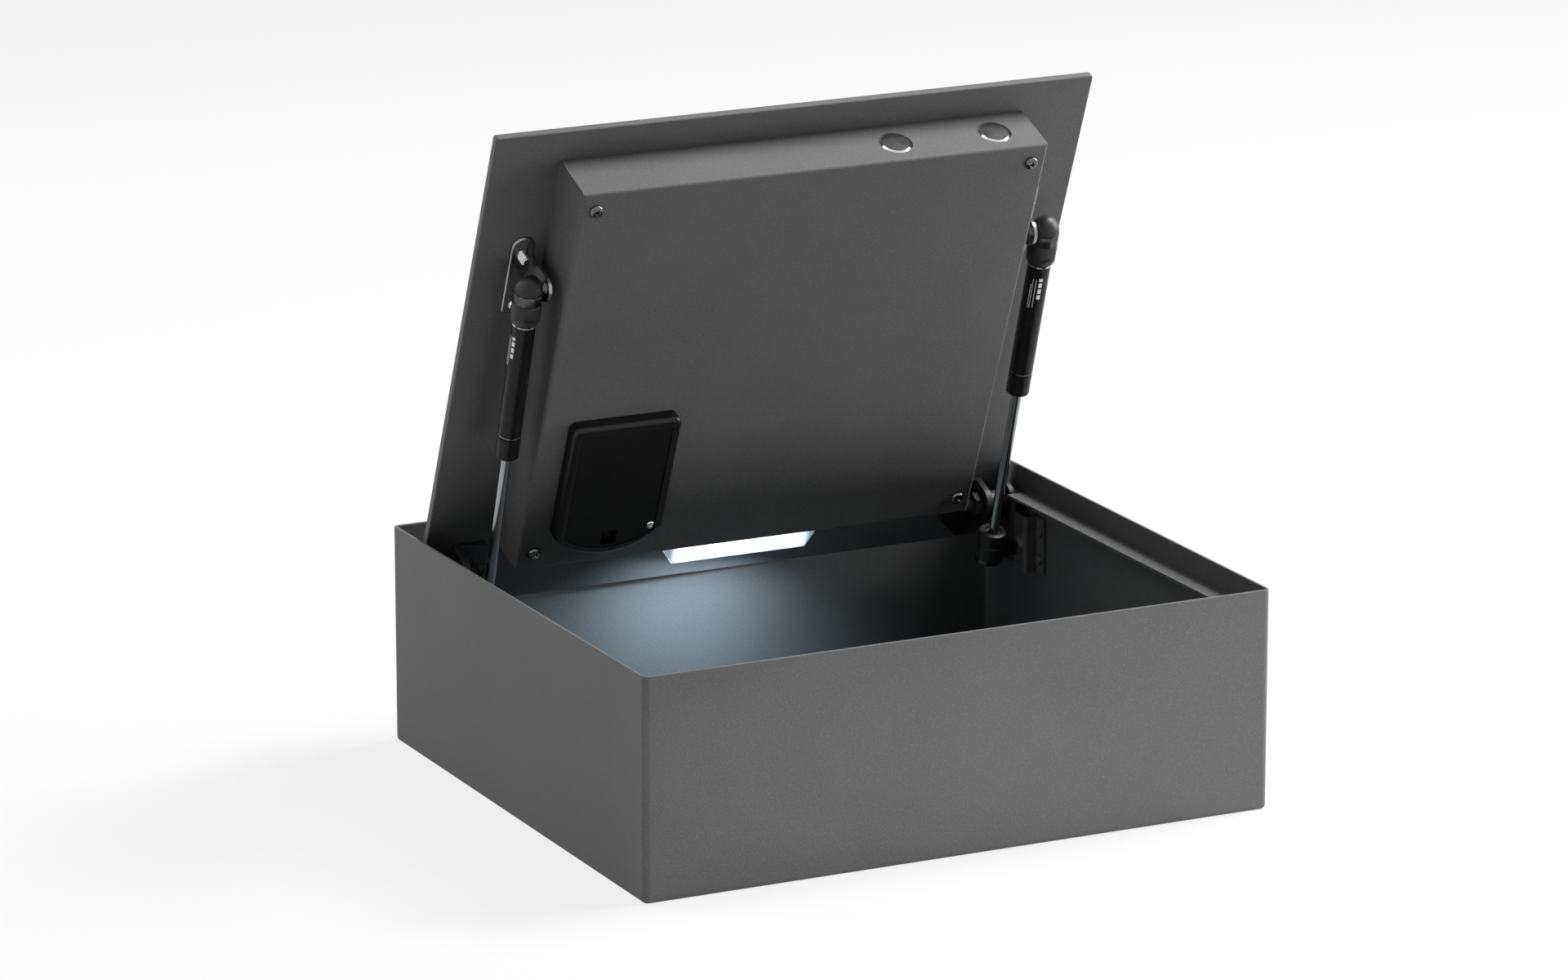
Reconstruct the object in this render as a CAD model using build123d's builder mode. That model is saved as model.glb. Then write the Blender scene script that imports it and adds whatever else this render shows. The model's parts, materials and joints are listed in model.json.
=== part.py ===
from build123d import *
from math import acos, ceil, cos, pi, radians, sin, sqrt, tan
import os

os.makedirs("parts", exist_ok=True)

# Steel body: an open tray of folded sheet, stood on its base
body_width = 400
body_depth = 350
body_height = 133
body_wall = 2
body_corner_radius = 4
body_foot_radius = 3
rim_rounding = 0.6
base_hole_radius = 4.5
base_hole_spacing_x = 280
base_hole_spacing_y = 200

# Ledge inside the rim, which the closed lid sits above and the bolts lock under
ledge_below_rim = 13.5
ledge_reach = 15
ledge_sheet = 1.5
ledge_leg = 11
ledge_start = 57
front_ledge_reach = 20
bumper_radius = 4
bumper_spacing = 240

# Lid: a flat plate recessed in the rim, held here at the end of its swing
lid_gap = 7
lid_recess = 3
lid_thickness = 5
lid_edge_rounding = 0.8
lid_corner_radius = 1.5
lid_open_angle = 68

# Hinge: a bolt through a channel on each side wall and a lug on the lid
hinge_from_back = 42
hinge_below_rim = 21.5
hinge_bolt_radius = 4
hinge_channel_width = 24
hinge_channel_sheet = 3
hinge_channel_standoff = 10
hinge_channel_nose = 12
hinge_channel_bottom = 57
hinge_spacer_radius = 7
hinge_head_height = 4.5
hinge_head_radius = 6.5
hinge_nut_height = 5
hinge_thread_beyond_nut = 6
lug_from_side = 24
lug_thickness = 4.5
lug_nose_radius = 11
lug_foot_start = 4
lug_foot_width = 23
lug_foot_thickness = 3.5
lug_foot_chamfer = 13
lug_foot_corner_radius = 4
lug_edge_rounding = 0.8

# Lock housing: a folded tray turned over on the lid's inner face
housing_side_gap = 43
housing_back_gap = 48
housing_front_gap = 20
housing_height = 35.5
housing_sheet = 1.5
housing_fold_radius = 2
housing_corner_slit_width = 0.4
housing_screw_inset = 9.5
housing_screw_end_inset = 12
housing_post_radius = 4.5
housing_screw_radius = 1.5
housing_screw_head_radius = 4.2
housing_screw_head_height = 2.6

# Locking bolts and their drive
bolt_radius = 9.5
bolt_depth = 17.5
bolts_from_housing_side = 60
bolt_spacing = 65
bolt_travel = 18
bolt_proud = 0.1
bolt_length = 61.3
bolt_end_chamfer = 1.0
bolt_hole_clearance = 0.9
guide_length = 22
guide_margin = 3
guide_depth = 29
carriage_thickness = 5
carriage_height = 16
rack_module = 1.25
pinion_teeth = 16
pinion_width = 6
pinion_shaft_radius = 2
pinion_shaft_seat = 4
pinion_from_carriage = 2.5
rack_pressure_angle = 20
rack_backlash = 0.2
rack_body = 4
rack_root_gap = 0.35
rack_from_middle = 20
rack_teeth_ahead = 2
rack_teeth_spare = 1
rack_plane_depth = 9
motor_gearbox_radius = 12
motor_gearbox_height = 8
motor_gearbox_margin = 2
motor_can_radius = 10
motor_can_height = 16
motor_can_offset = 22

# Battery compartment: a moulded frame and a screwed door on the housing
frame_from_side = 102.5
frame_from_housing_back = 11
frame_width = 70
frame_length = 95
frame_bow_height = 15
frame_height = 9
frame_corner_radius = 5
frame_edge_radius = 3.5
door_inset = 5.8
door_thickness = 2
door_sunk = 0.3
door_gap = 0.3
door_edge_rounding = 0.4
frame_seat = 2.2
door_screw_radius = 2.4
door_screw_height = 1.4
door_screw_from_shoulder = 3.5
door_screw_from_edge = 3.2
reset_window = 10
reset_window_from_foot = 12.5
reset_button_radius = 3.4
reset_travel = 1.5
reset_base_height = 3.6
reset_stem_length = 4.6
reset_dome_share = 0.7
cell_radius = 7.25
cell_length = 50.5
cell_nub_radius = 2.7
cell_nub_length = 1.2
cell_count = 4
cell_pitch = 14.7
tray_wall = 1.2
tray_end_room = 2.8
tray_from_frame_foot = 53

# Light bar at the hinge end of the housing
lens_width = 102
lens_tip_width = 88
lens_reach = 14
lens_height = 13
lens_depth = 18
lens_flange = 1.5
lens_edge_radius = 1
light_board_thickness = 1.6

# Keypad on the lid's outer face
keypad_place = 222
keypad_width = 84
keypad_length = 124
keypad_corner_radius = 6
keypad_rise = 2
keypad_border = 6
key_width = 15
key_length = 11
key_pitch_x = 20
key_pitch_y = 16
key_rows = 4
key_columns = 3
key_rise = 0.9
key_travel = 0.8
key_flange = 1
key_flange_thickness = 0.8
key_corner_radius = 2
key_block_place = 18
window_width = 56
window_length = 20
window_place = 40
window_thickness = 1.2
keypad_board_thickness = 1.4

# Gas struts and the brackets and ball studs that carry them
strut_from_side = 31.7
strut_foot_from_back = 63
strut_foot_below_rim = 44.5
strut_head_along_lid = 244.5
strut_head_depth = 23.5
ball_radius = 4
ball_neck_radius = 2.5
ball_clearance = 0.08
tube_radius = 7
tube_wall = 1
tube_from_ball = 22
tube_length = 90
tube_end_length = 15
tube_groove_depth = 0.4
tube_groove_width = 1.2
rod_radius = 3
rod_inside_tube = 24
piston_radius = 5.9
piston_length = 8
socket_width = 18
socket_depth = 15.4
socket_cheek_radius = 2
socket_beyond_ball = 12
head_socket_beyond_ball = 9.5
socket_collar_radius = 8.8
socket_collar_length = 7
socket_cup_depth = 5
foot_socket_length = 13.5
socket_mouth_radius = 5
foot_pocket_play = 3.7
foot_pocket_gap = 0.6
wall_bracket_top = 25.7
wall_bracket_height = 35
wall_bracket_sheet = 2
wall_bracket_standoff = 10
wall_bracket_start = 55
wall_bracket_web = 16
wall_bracket_flange = 9
bracket_screw_spacing = 17
bracket_screw_radius = 2
bracket_screw_head_radius = 3.4
bracket_screw_head_height = 2.4
stud_collar_radius = 5.5
stud_collar_length = 3
stud_rivet_radius = 4.5
stud_rivet_length = 1.5
lid_bracket_sheet = 2
lid_bracket_left = 28
lid_bracket_width = 15
lid_bracket_start = 213
lid_bracket_end = 265.5
lid_bracket_slot_place = 253
lid_bracket_slot_length = 18
lid_bracket_slot_width = 6.4
lid_bracket_nose_radius = 8
lid_bracket_corner_radius = 3.5
lid_bracket_edge_rounding = 1.2
lid_stud_radius = 3
lid_stud_length = 9
lid_bracket_rivet_place = 219
lid_bracket_rivet_radius = 3.6
lid_bracket_rivet_height = 2

# Clearances shared by the moving and the seated pieces
running_clearance = 0.05
side_clearance = 0.3
fit_clearance = 0.25

# Places that follow from the sizes above
half_width = body_width / 2
half_depth = body_depth / 2
lid_width = body_width - 2 * lid_gap
lid_length = body_depth - 2 * lid_gap
swing = radians(lid_open_angle)
pivot_along_lid = hinge_from_back - lid_gap
pivot_depth = hinge_below_rim - lid_recess - lid_thickness

# Along runs from the hinge edge of the lid to its front edge, and inward points into the safe
along = Vector(0, -cos(swing), sin(swing))
inward = Vector(0, -sin(swing), -cos(swing))
pivot = Vector(0, half_depth - hinge_from_back, body_height - hinge_below_rim)
lid_corner = pivot - along * pivot_along_lid - inward * pivot_depth
lid_face = Plane(origin=lid_corner, x_dir=(1, 0, 0), z_dir=inward)


def lid_level(depth):
    """The plane parallel to the lid's inner face at a depth from it."""
    return lid_face.offset(depth)


def lid_side(x):
    """The plane across the lid at x: first axis along the lid, second axis inward."""
    return Plane(origin=lid_face.from_local_coords((x, 0, 0)), x_dir=along, z_dir=(1, 0, 0))


def lid_cross(place):
    """The plane square to the lid's length: first axis +X, second axis inward."""
    return Plane(origin=lid_face.from_local_coords((0, place, 0)), x_dir=(1, 0, 0), z_dir=along * -1)


def wall_side(x):
    """The upright plane at x: first axis forward from the back, second axis down from the rim."""
    return Plane(origin=(x, half_depth, body_height), x_dir=(0, -1, 0), z_dir=(1, 0, 0))


def below_rim(depth):
    """The level plane below the rim: first axis +X from the left face, second axis forward."""
    return Plane(origin=(-half_width, half_depth, body_height - depth), x_dir=(1, 0, 0), z_dir=(0, 0, -1))


def from_left(distance):
    """The x of a place measured inward from the body's left face."""
    return distance - half_width


def save(piece, name):
    piece.part.label = name
    export_step(piece.part, f"parts/{name}.step")


def save_pair(piece, name):
    """Writes the left piece and its mirror image on the right."""
    save(piece, f"left_{name}")
    with BuildPart() as other:
        mirror(piece.part, about=Plane.YZ)
    save(other, f"right_{name}")


def save_both(piece, name):
    """Writes the left piece and its mirror image as one group of like pieces."""
    with BuildPart() as both:
        add(piece.part)
        mirror(piece.part, about=Plane.YZ)
    save(both, name)


# Body shell
with BuildPart() as body_shell:
    with BuildSketch(Plane.XY):
        RectangleRounded(body_width, body_depth, body_corner_radius)
    extrude(amount=body_height)
    fillet(body_shell.faces().sort_by(Axis.Z)[0].edges(), body_foot_radius)
    offset(amount=-body_wall, openings=body_shell.faces().sort_by(Axis.Z)[-1])
    fillet(body_shell.faces().sort_by(Axis.Z)[-1].edges(), rim_rounding)
    with BuildSketch(Plane.XY):
        with GridLocations(base_hole_spacing_x, base_hole_spacing_y, 2, 2):
            Circle(base_hole_radius)
    extrude(amount=body_wall, mode=Mode.SUBTRACT)
save(body_shell, "body_shell")


# Ledges: folded angles welded to the walls
def angle_profile(wall_at, reach, direction):
    """An angle section: a level shelf, and a leg down the wall that it starts from."""
    tip = wall_at + direction * reach
    leg = wall_at + direction * ledge_sheet
    under = ledge_below_rim + ledge_sheet
    foot = ledge_below_rim + ledge_leg
    with BuildSketch(Plane.XY) as section:
        with BuildLine():
            Polyline(
                (wall_at, ledge_below_rim),
                (tip, ledge_below_rim),
                (tip, under),
                (leg, under),
                (leg, foot),
                (wall_at, foot),
                close=True,
            )
        make_face()
    return section.sketch


front_wall = body_depth - body_wall
front_ledge_back = front_wall - front_ledge_reach
ledge_end = Plane(
    origin=(-half_width, half_depth - front_ledge_back, body_height), x_dir=(1, 0, 0), z_dir=(0, 1, 0)
)
side_section = angle_profile(body_wall, ledge_reach, 1)
front_section = angle_profile(front_wall, front_ledge_reach, -1)

with BuildPart() as left_ledge:
    with BuildSketch(ledge_end):
        add(side_section)
    extrude(amount=front_ledge_back - ledge_start)
save_pair(left_ledge, "ledge")

front_ledge_half = half_width - body_corner_radius
with BuildPart() as front_ledge:
    with BuildSketch(wall_side(-front_ledge_half)):
        add(front_section)
    extrude(amount=2 * front_ledge_half)
save(front_ledge, "front_ledge")

# Rubber bumpers on the front ledge, just under the closed lid
bumper_from_back = (front_ledge_back + body_depth - lid_gap) / 2
bumper_height = ledge_below_rim - lid_recess - lid_thickness - side_clearance
with BuildPart() as rest_bumpers:
    with BuildSketch(below_rim(ledge_below_rim)):
        for side in (-1, 1):
            with Locations((half_width + side * bumper_spacing / 2, bumper_from_back)):
                Circle(bumper_radius)
    extrude(amount=-bumper_height)
    chamfer(rest_bumpers.faces().sort_by(Axis.Z)[-2:].edges(), rim_rounding)
save(rest_bumpers, "rest_bumpers")

# Hinge channels on the side walls, with a spacer out to the lug
channel_outer = body_wall + hinge_channel_standoff
channel_inner = channel_outer - hinge_channel_sheet
spacer_end = lug_from_side - side_clearance
channel_top = hinge_below_rim - hinge_channel_nose
with BuildPart() as hinge_channel:
    with BuildSketch(below_rim(channel_top)):
        with Locations(((body_wall + channel_outer) / 2, hinge_from_back)):
            Rectangle(hinge_channel_standoff, hinge_channel_width)
        with Locations(((body_wall + channel_inner) / 2, hinge_from_back)):
            Rectangle(
                channel_inner - body_wall,
                hinge_channel_width - 2 * hinge_channel_sheet,
                mode=Mode.SUBTRACT,
            )
    extrude(amount=hinge_channel_bottom - channel_top)
    fillet(
        hinge_channel.edges().filter_by(Axis.Z).group_by(Axis.X)[-1],
        hinge_channel_sheet,
    )
    with BuildSketch(wall_side(from_left(body_wall))):
        with Locations((hinge_from_back, hinge_below_rim)):
            Circle(hinge_channel_nose)
        with Locations((hinge_from_back, (hinge_below_rim + hinge_channel_bottom) / 2)):
            Rectangle(2 * hinge_channel_nose, hinge_channel_bottom - hinge_below_rim)
    extrude(amount=hinge_channel_standoff, mode=Mode.INTERSECT)
    with BuildSketch(wall_side(from_left(channel_outer))):
        with Locations((hinge_from_back, hinge_below_rim)):
            Circle(hinge_spacer_radius)
    extrude(amount=spacer_end - channel_outer)
    with BuildSketch(wall_side(from_left(body_wall))):
        with Locations((hinge_from_back, hinge_below_rim)):
            Circle(hinge_bolt_radius + running_clearance)
    extrude(amount=lug_from_side - body_wall, mode=Mode.SUBTRACT)
save_pair(hinge_channel, "hinge_bracket")

# Hinge bolts: a hex head in the channel, and a nut inside the lug
nut_from_side = lug_from_side + lug_thickness + side_clearance
bolt_tip = nut_from_side + hinge_nut_height + hinge_thread_beyond_nut
with BuildPart() as hinge_bolt:
    with BuildSketch(wall_side(from_left(channel_inner - hinge_head_height))):
        with Locations((hinge_from_back, hinge_below_rim)):
            RegularPolygon(hinge_head_radius, 6, major_radius=False)
    extrude(amount=hinge_head_height)
    with BuildSketch(wall_side(from_left(channel_inner))):
        with Locations((hinge_from_back, hinge_below_rim)):
            Circle(hinge_bolt_radius)
    extrude(amount=bolt_tip - channel_inner)
    chamfer(hinge_bolt.faces().sort_by(Axis.X)[-1].edges(), rim_rounding)
with BuildPart() as hinge_nut:
    with BuildSketch(wall_side(from_left(nut_from_side))):
        with Locations((hinge_from_back, hinge_below_rim)):
            RegularPolygon(hinge_head_radius, 6, major_radius=False)
            Circle(hinge_bolt_radius + running_clearance, mode=Mode.SUBTRACT)
    extrude(amount=hinge_nut_height)
with BuildPart() as hinge_fastener:
    add(hinge_bolt.part)
    add(hinge_nut.part)
save_both(hinge_fastener, "hinge_bolts")

# Hinge lugs on the lid: a foot with a folded ear around the pivot
lug_foot_length = pivot_along_lid + lug_nose_radius - lug_foot_start
lug_foot_middle = lug_foot_start + lug_foot_length / 2
foot_from = from_left(lug_from_side)
foot_to = foot_from + lug_foot_width
with BuildPart() as lug_ear:
    with BuildSketch(lid_side(foot_from)):
        with Locations((pivot_along_lid, pivot_depth)):
            Circle(lug_nose_radius)
        with Locations((lug_foot_middle, lug_foot_thickness / 2)):
            Rectangle(lug_foot_length, lug_foot_thickness)
        make_hull()
        with Locations((pivot_along_lid, pivot_depth)):
            Circle(hinge_bolt_radius + running_clearance, mode=Mode.SUBTRACT)
    extrude(amount=lug_thickness)
    ear_faces = lug_ear.faces().sort_by(Axis.X)
    ear_rims = ear_faces[0].outer_wire().edges() + ear_faces[-1].outer_wire().edges()
    fillet(ear_rims.filter_by(GeomType.CIRCLE), lug_edge_rounding)
with BuildPart() as hinge_lug:
    with BuildSketch(lid_level(0)) as foot_face:
        with BuildLine():
            Polyline(
                (foot_from, lug_foot_start),
                (foot_to - lug_foot_chamfer, lug_foot_start),
                (foot_to, lug_foot_start + lug_foot_chamfer),
                (foot_to, lug_foot_start + lug_foot_length),
                (foot_from, lug_foot_start + lug_foot_length),
                close=True,
            )
        make_face()
        fillet(foot_face.vertices().sort_by(Axis.X)[2:], lug_foot_corner_radius)
    extrude(amount=lug_foot_thickness)
    foot_top = hinge_lug.faces().sort_by(Axis(lid_corner, inward))[-1]
    fillet(foot_top.edges().sort_by(Axis.X)[1:], lug_edge_rounding)
    add(lug_ear.part)
save_pair(hinge_lug, "hinge_lug")

# Wall brackets for the struts: a channel with one flange screwed to the wall
bracket_web_face = body_wall + wall_bracket_standoff
bracket_end = wall_bracket_start + wall_bracket_web
bracket_screw_place = bracket_end + wall_bracket_flange / 2
bracket_middle = wall_bracket_top + wall_bracket_height / 2
with BuildPart() as wall_bracket:
    with BuildSketch(below_rim(wall_bracket_top)):
        with Locations(((body_wall + bracket_web_face) / 2, wall_bracket_start + wall_bracket_web / 2)):
            Rectangle(wall_bracket_standoff, wall_bracket_web)
        with Locations(
            (
                body_wall + (wall_bracket_standoff - wall_bracket_sheet) / 2,
                wall_bracket_start + wall_bracket_web / 2,
            )
        ):
            Rectangle(
                wall_bracket_standoff - wall_bracket_sheet,
                wall_bracket_web - 2 * wall_bracket_sheet,
                mode=Mode.SUBTRACT,
            )
        with Locations(
            (
                body_wall + wall_bracket_sheet / 2,
                bracket_end + (wall_bracket_flange - wall_bracket_sheet) / 2,
            )
        ):
            Rectangle(wall_bracket_sheet, wall_bracket_flange + wall_bracket_sheet)
    extrude(amount=wall_bracket_height)
    fillet(wall_bracket.edges().filter_by(Axis.Z).group_by(Axis.X)[-1], wall_bracket_sheet)
    with BuildSketch(wall_side(from_left(body_wall))):
        for side in (-1, 1):
            with Locations((bracket_screw_place, bracket_middle + side * bracket_screw_spacing / 2)):
                Circle(bracket_screw_radius + fit_clearance)
    extrude(amount=wall_bracket_sheet, mode=Mode.SUBTRACT)
    with BuildSketch(wall_side(from_left(body_wall))):
        with Locations((strut_foot_from_back, strut_foot_below_rim)):
            Circle(ball_neck_radius + running_clearance)
    extrude(amount=wall_bracket_standoff, mode=Mode.SUBTRACT)
save_pair(wall_bracket, "strut_bracket")

# Screws in the wall brackets
with BuildPart() as bracket_screws:
    for side in (-1, 1):
        screw_plane = Plane(
            origin=wall_side(from_left(body_wall)).from_local_coords(
                (bracket_screw_place, bracket_middle + side * bracket_screw_spacing / 2, 0)
            ),
            x_dir=(0, -1, 0),
            z_dir=(1, 0, 0),
        )
        with BuildSketch(screw_plane):
            Circle(bracket_screw_radius)
        extrude(amount=wall_bracket_sheet)
        with BuildSketch(screw_plane.offset(wall_bracket_sheet)):
            Circle(bracket_screw_head_radius)
        extrude(amount=bracket_screw_head_height)
    fillet(bracket_screws.edges().group_by(Axis.X)[-1], rim_rounding)
save_both(bracket_screws, "strut_bracket_screws")

# Strut geometry: the ball at the lid end, the ball at the wall end and the line between them
strut_x = from_left(strut_from_side)
head_ball = lid_face.from_local_coords((strut_x, strut_head_along_lid, strut_head_depth))
foot_ball = wall_side(strut_x).from_local_coords((strut_foot_from_back, strut_foot_below_rim, 0))
strut_line = foot_ball - head_ball
strut_span = strut_line.length
strut_axis = Plane(origin=head_ball, x_dir=(1, 0, 0), z_dir=strut_line)


def ball_stud_profile(collar_length, collar_radius, neck_start, ball_centre):
    """Half section of a ball stud: x along its axis from the plate face, y its radius."""
    rivet_end = neck_start - stud_rivet_length
    neck_length = sqrt(ball_radius**2 - ball_neck_radius**2)
    with BuildSketch(Plane.XY) as section:
        with BuildLine():
            outline = Polyline(
                (ball_centre + ball_radius, 0),
                (rivet_end, 0),
                (rivet_end, stud_rivet_radius),
                (neck_start, stud_rivet_radius),
                (neck_start, ball_neck_radius),
                (0, ball_neck_radius),
                (0, collar_radius),
                (collar_length, collar_radius),
                (collar_length, ball_neck_radius),
                (ball_centre - neck_length, ball_neck_radius),
            )
            ThreePointArc(outline @ 1, (ball_centre, ball_radius), outline @ 0)
        make_face()
    return section.sketch


# Ball studs at the foot of the struts, riveted in the wall brackets
foot_stud_plane = Plane(
    origin=(from_left(bracket_web_face), foot_ball.Y, foot_ball.Z), x_dir=(1, 0, 0), z_dir=(0, -1, 0)
)
foot_stud_section = ball_stud_profile(
    stud_collar_length, stud_collar_radius, -wall_bracket_sheet, strut_from_side - bracket_web_face
)
with BuildPart() as foot_stud:
    with BuildSketch(foot_stud_plane):
        add(foot_stud_section)
    revolve(axis=Axis(foot_stud_plane.origin, (1, 0, 0)))
save_both(foot_stud, "lower_ball_studs")

# Lid plate, with an opening behind the keypad
keypad_opening_width = keypad_width - 2 * keypad_border
keypad_opening_length = keypad_length - 2 * keypad_border
with BuildPart() as lid_plate:
    with BuildSketch(lid_level(-lid_thickness)):
        with Locations((0, lid_length / 2)):
            RectangleRounded(lid_width, lid_length, lid_corner_radius)
    extrude(amount=lid_thickness)
    plate_faces = lid_plate.faces().sort_by(Axis(lid_corner, inward))
    fillet(plate_faces[0].edges() + plate_faces[-1].edges(), lid_edge_rounding)
    with BuildSketch(lid_level(-lid_thickness)):
        with Locations((0, keypad_place)):
            RectangleRounded(keypad_opening_width, keypad_opening_length, lid_corner_radius)
    extrude(amount=lid_thickness, mode=Mode.SUBTRACT)
save(lid_plate, "lid_plate")

# Lock housing
housing_width = lid_width - 2 * housing_side_gap
housing_front = lid_length - housing_front_gap
housing_back = housing_back_gap
housing_length = housing_front - housing_back
housing_middle = (housing_front + housing_back) / 2
screw_pitch_x = housing_width - 2 * housing_screw_inset
screw_pitch_y = housing_length - 2 * housing_screw_end_inset
bolt_offset = housing_width / 2 - bolts_from_housing_side
bolt_places = [bolt_offset - bolt_spacing / 2, bolt_offset + bolt_spacing / 2]
frame_middle = from_left(frame_from_side)
frame_bottom = housing_back + frame_from_housing_back
frame_shoulder = frame_bottom + frame_bow_height
frame_top = frame_bottom + frame_length
reset_window_place = frame_bottom + reset_window_from_foot
tray_place = frame_bottom + tray_from_frame_foot
tray_inner_width = cell_length + cell_nub_length + 2 * tray_end_room
tray_inner_length = cell_count * cell_pitch
lens_slot_middle = lens_depth + lens_height / 2
with BuildPart() as lock_housing:
    with BuildSketch(lid_level(0)):
        with Locations((0, housing_middle)):
            Rectangle(housing_width, housing_length)
    extrude(amount=housing_height)
    housing_faces = lock_housing.faces().sort_by(Axis(lid_corner, inward))
    fillet(housing_faces[-1].edges(), housing_fold_radius)
    with BuildSketch(lid_level(0)):
        with Locations((0, housing_middle)):
            Rectangle(housing_width - 2 * housing_sheet, housing_length - 2 * housing_sheet)
    extrude(amount=housing_height - housing_sheet, mode=Mode.SUBTRACT)
    with BuildSketch(lid_level(0)):
        for side in (-1, 1):
            for end in (-1, 1):
                corner_x = side * (housing_width - housing_sheet) / 2
                corner_place = housing_middle + end * (housing_length - housing_sheet) / 2
                with Locations((corner_x, corner_place)):
                    Rectangle(3 * housing_sheet, housing_corner_slit_width, rotation=45 * side * end)
    extrude(amount=housing_height - housing_fold_radius, mode=Mode.SUBTRACT)
    with BuildSketch(lid_level(housing_height)):
        with Locations((0, housing_middle)):
            with GridLocations(screw_pitch_x, screw_pitch_y, 2, 2):
                Circle(housing_screw_radius + fit_clearance)
        with Locations((frame_middle, tray_place)):
            Rectangle(tray_inner_width, tray_inner_length)
    extrude(amount=-housing_sheet, mode=Mode.SUBTRACT)
    with BuildSketch(lid_cross(housing_front)):
        for place in bolt_places:
            with Locations((place, bolt_depth)):
                Circle(bolt_radius + bolt_hole_clearance)
    extrude(amount=housing_sheet, mode=Mode.SUBTRACT)
    with BuildSketch(lid_cross(housing_back + housing_sheet)):
        with Locations((0, lens_slot_middle)):
            Rectangle(lens_width + 2 * fit_clearance, lens_height + 2 * fit_clearance)
    extrude(amount=housing_sheet, mode=Mode.SUBTRACT)
save(lock_housing, "lock_housing")

# Posts under the housing and the screws through it
post_height = housing_height - housing_sheet
with BuildPart() as housing_posts:
    with BuildSketch(lid_level(0)):
        with Locations((0, housing_middle)):
            with GridLocations(screw_pitch_x, screw_pitch_y, 2, 2):
                Circle(housing_post_radius)
                Circle(housing_screw_radius + running_clearance, mode=Mode.SUBTRACT)
    extrude(amount=post_height)
save(housing_posts, "housing_posts")

with BuildPart() as housing_screws:
    with BuildSketch(lid_level(post_height / 2)):
        with Locations((0, housing_middle)):
            with GridLocations(screw_pitch_x, screw_pitch_y, 2, 2):
                Circle(housing_screw_radius)
    extrude(amount=housing_height - post_height / 2)
    with BuildSketch(lid_level(housing_height)):
        with Locations((0, housing_middle)):
            with GridLocations(screw_pitch_x, screw_pitch_y, 2, 2):
                Circle(housing_screw_head_radius)
    extrude(amount=housing_screw_head_height)
    head_tops = housing_screws.faces().group_by(Axis(lid_corner, inward))[-1]
    fillet(head_tops.edges(), housing_screw_head_height - rim_rounding)
save(housing_screws, "housing_screws")

# Lid brackets for the struts: a slotted plate with a folded ear for the ball stud
bracket_left = from_left(lid_bracket_left)
bracket_right = bracket_left + lid_bracket_width
ear_inner = bracket_right - lid_bracket_sheet
bracket_centre = bracket_left + lid_bracket_width / 2
bracket_nose_centre = lid_bracket_end - lid_bracket_width / 2
ear_start = strut_head_along_lid - lid_bracket_slot_length
ear_finish = strut_head_along_lid + lid_bracket_nose_radius
with BuildPart() as lid_bracket:
    with BuildSketch(lid_level(0)):
        with Locations((bracket_centre, bracket_nose_centre)):
            Circle(lid_bracket_width / 2)
        for side in (-1, 1):
            corner_x = bracket_centre + side * (lid_bracket_width / 2 - lid_bracket_corner_radius)
            with Locations((corner_x, lid_bracket_start + lid_bracket_corner_radius)):
                Circle(lid_bracket_corner_radius)
        make_hull()
        with Locations((bracket_centre, lid_bracket_slot_place)):
            SlotOverall(lid_bracket_slot_length, lid_bracket_slot_width, rotation=90, mode=Mode.SUBTRACT)
        with Locations((bracket_centre, lid_bracket_rivet_place)):
            Circle(lid_stud_radius + fit_clearance, mode=Mode.SUBTRACT)
    extrude(amount=lid_bracket_sheet)
    fillet(
        lid_bracket.faces().sort_by(Axis(lid_corner, inward))[-1].outer_wire().edges(),
        lid_bracket_edge_rounding,
    )
    with BuildSketch(lid_side(ear_inner)):
        with Locations((strut_head_along_lid, strut_head_depth)):
            Circle(lid_bracket_nose_radius)
        with Locations(((ear_start + ear_finish) / 2, lid_bracket_sheet / 2)):
            Rectangle(ear_finish - ear_start, lid_bracket_sheet)
        make_hull()
        with Locations((strut_head_along_lid, strut_head_depth)):
            Circle(ball_neck_radius + running_clearance, mode=Mode.SUBTRACT)
    extrude(amount=lid_bracket_sheet)
save_pair(lid_bracket, "lid_bracket")

# Weld studs and rivets that hold the lid brackets
with BuildPart() as lid_stud:
    with BuildSketch(lid_level(0)):
        with Locations((bracket_centre, lid_bracket_slot_place)):
            Circle(lid_stud_radius)
    extrude(amount=lid_stud_length)
    with BuildSketch(lid_level(0)):
        with Locations((bracket_centre, lid_bracket_rivet_place)):
            Circle(lid_stud_radius)
    extrude(amount=lid_bracket_sheet)
    with BuildSketch(lid_level(lid_bracket_sheet)):
        with Locations((bracket_centre, lid_bracket_rivet_place)):
            Circle(lid_bracket_rivet_radius)
    extrude(amount=lid_bracket_rivet_height)
    chamfer(lid_stud.faces().sort_by(Axis(lid_corner, inward))[-1].edges(), rim_rounding)
save_both(lid_stud, "lid_bracket_studs")

# Ball studs at the head of the struts, riveted in the ears and pointing outward
head_stud_plane = Plane(origin=(ear_inner, head_ball.Y, head_ball.Z), x_dir=(-1, 0, 0), z_dir=(0, -1, 0))
head_stud_section = ball_stud_profile(
    rim_rounding, stud_rivet_radius - rim_rounding, -lid_bracket_sheet, ear_inner - strut_x
)
with BuildPart() as head_stud:
    with BuildSketch(head_stud_plane):
        add(head_stud_section)
    revolve(axis=Axis(head_stud_plane.origin, (1, 0, 0)))
save_both(head_stud, "upper_ball_studs")

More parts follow.
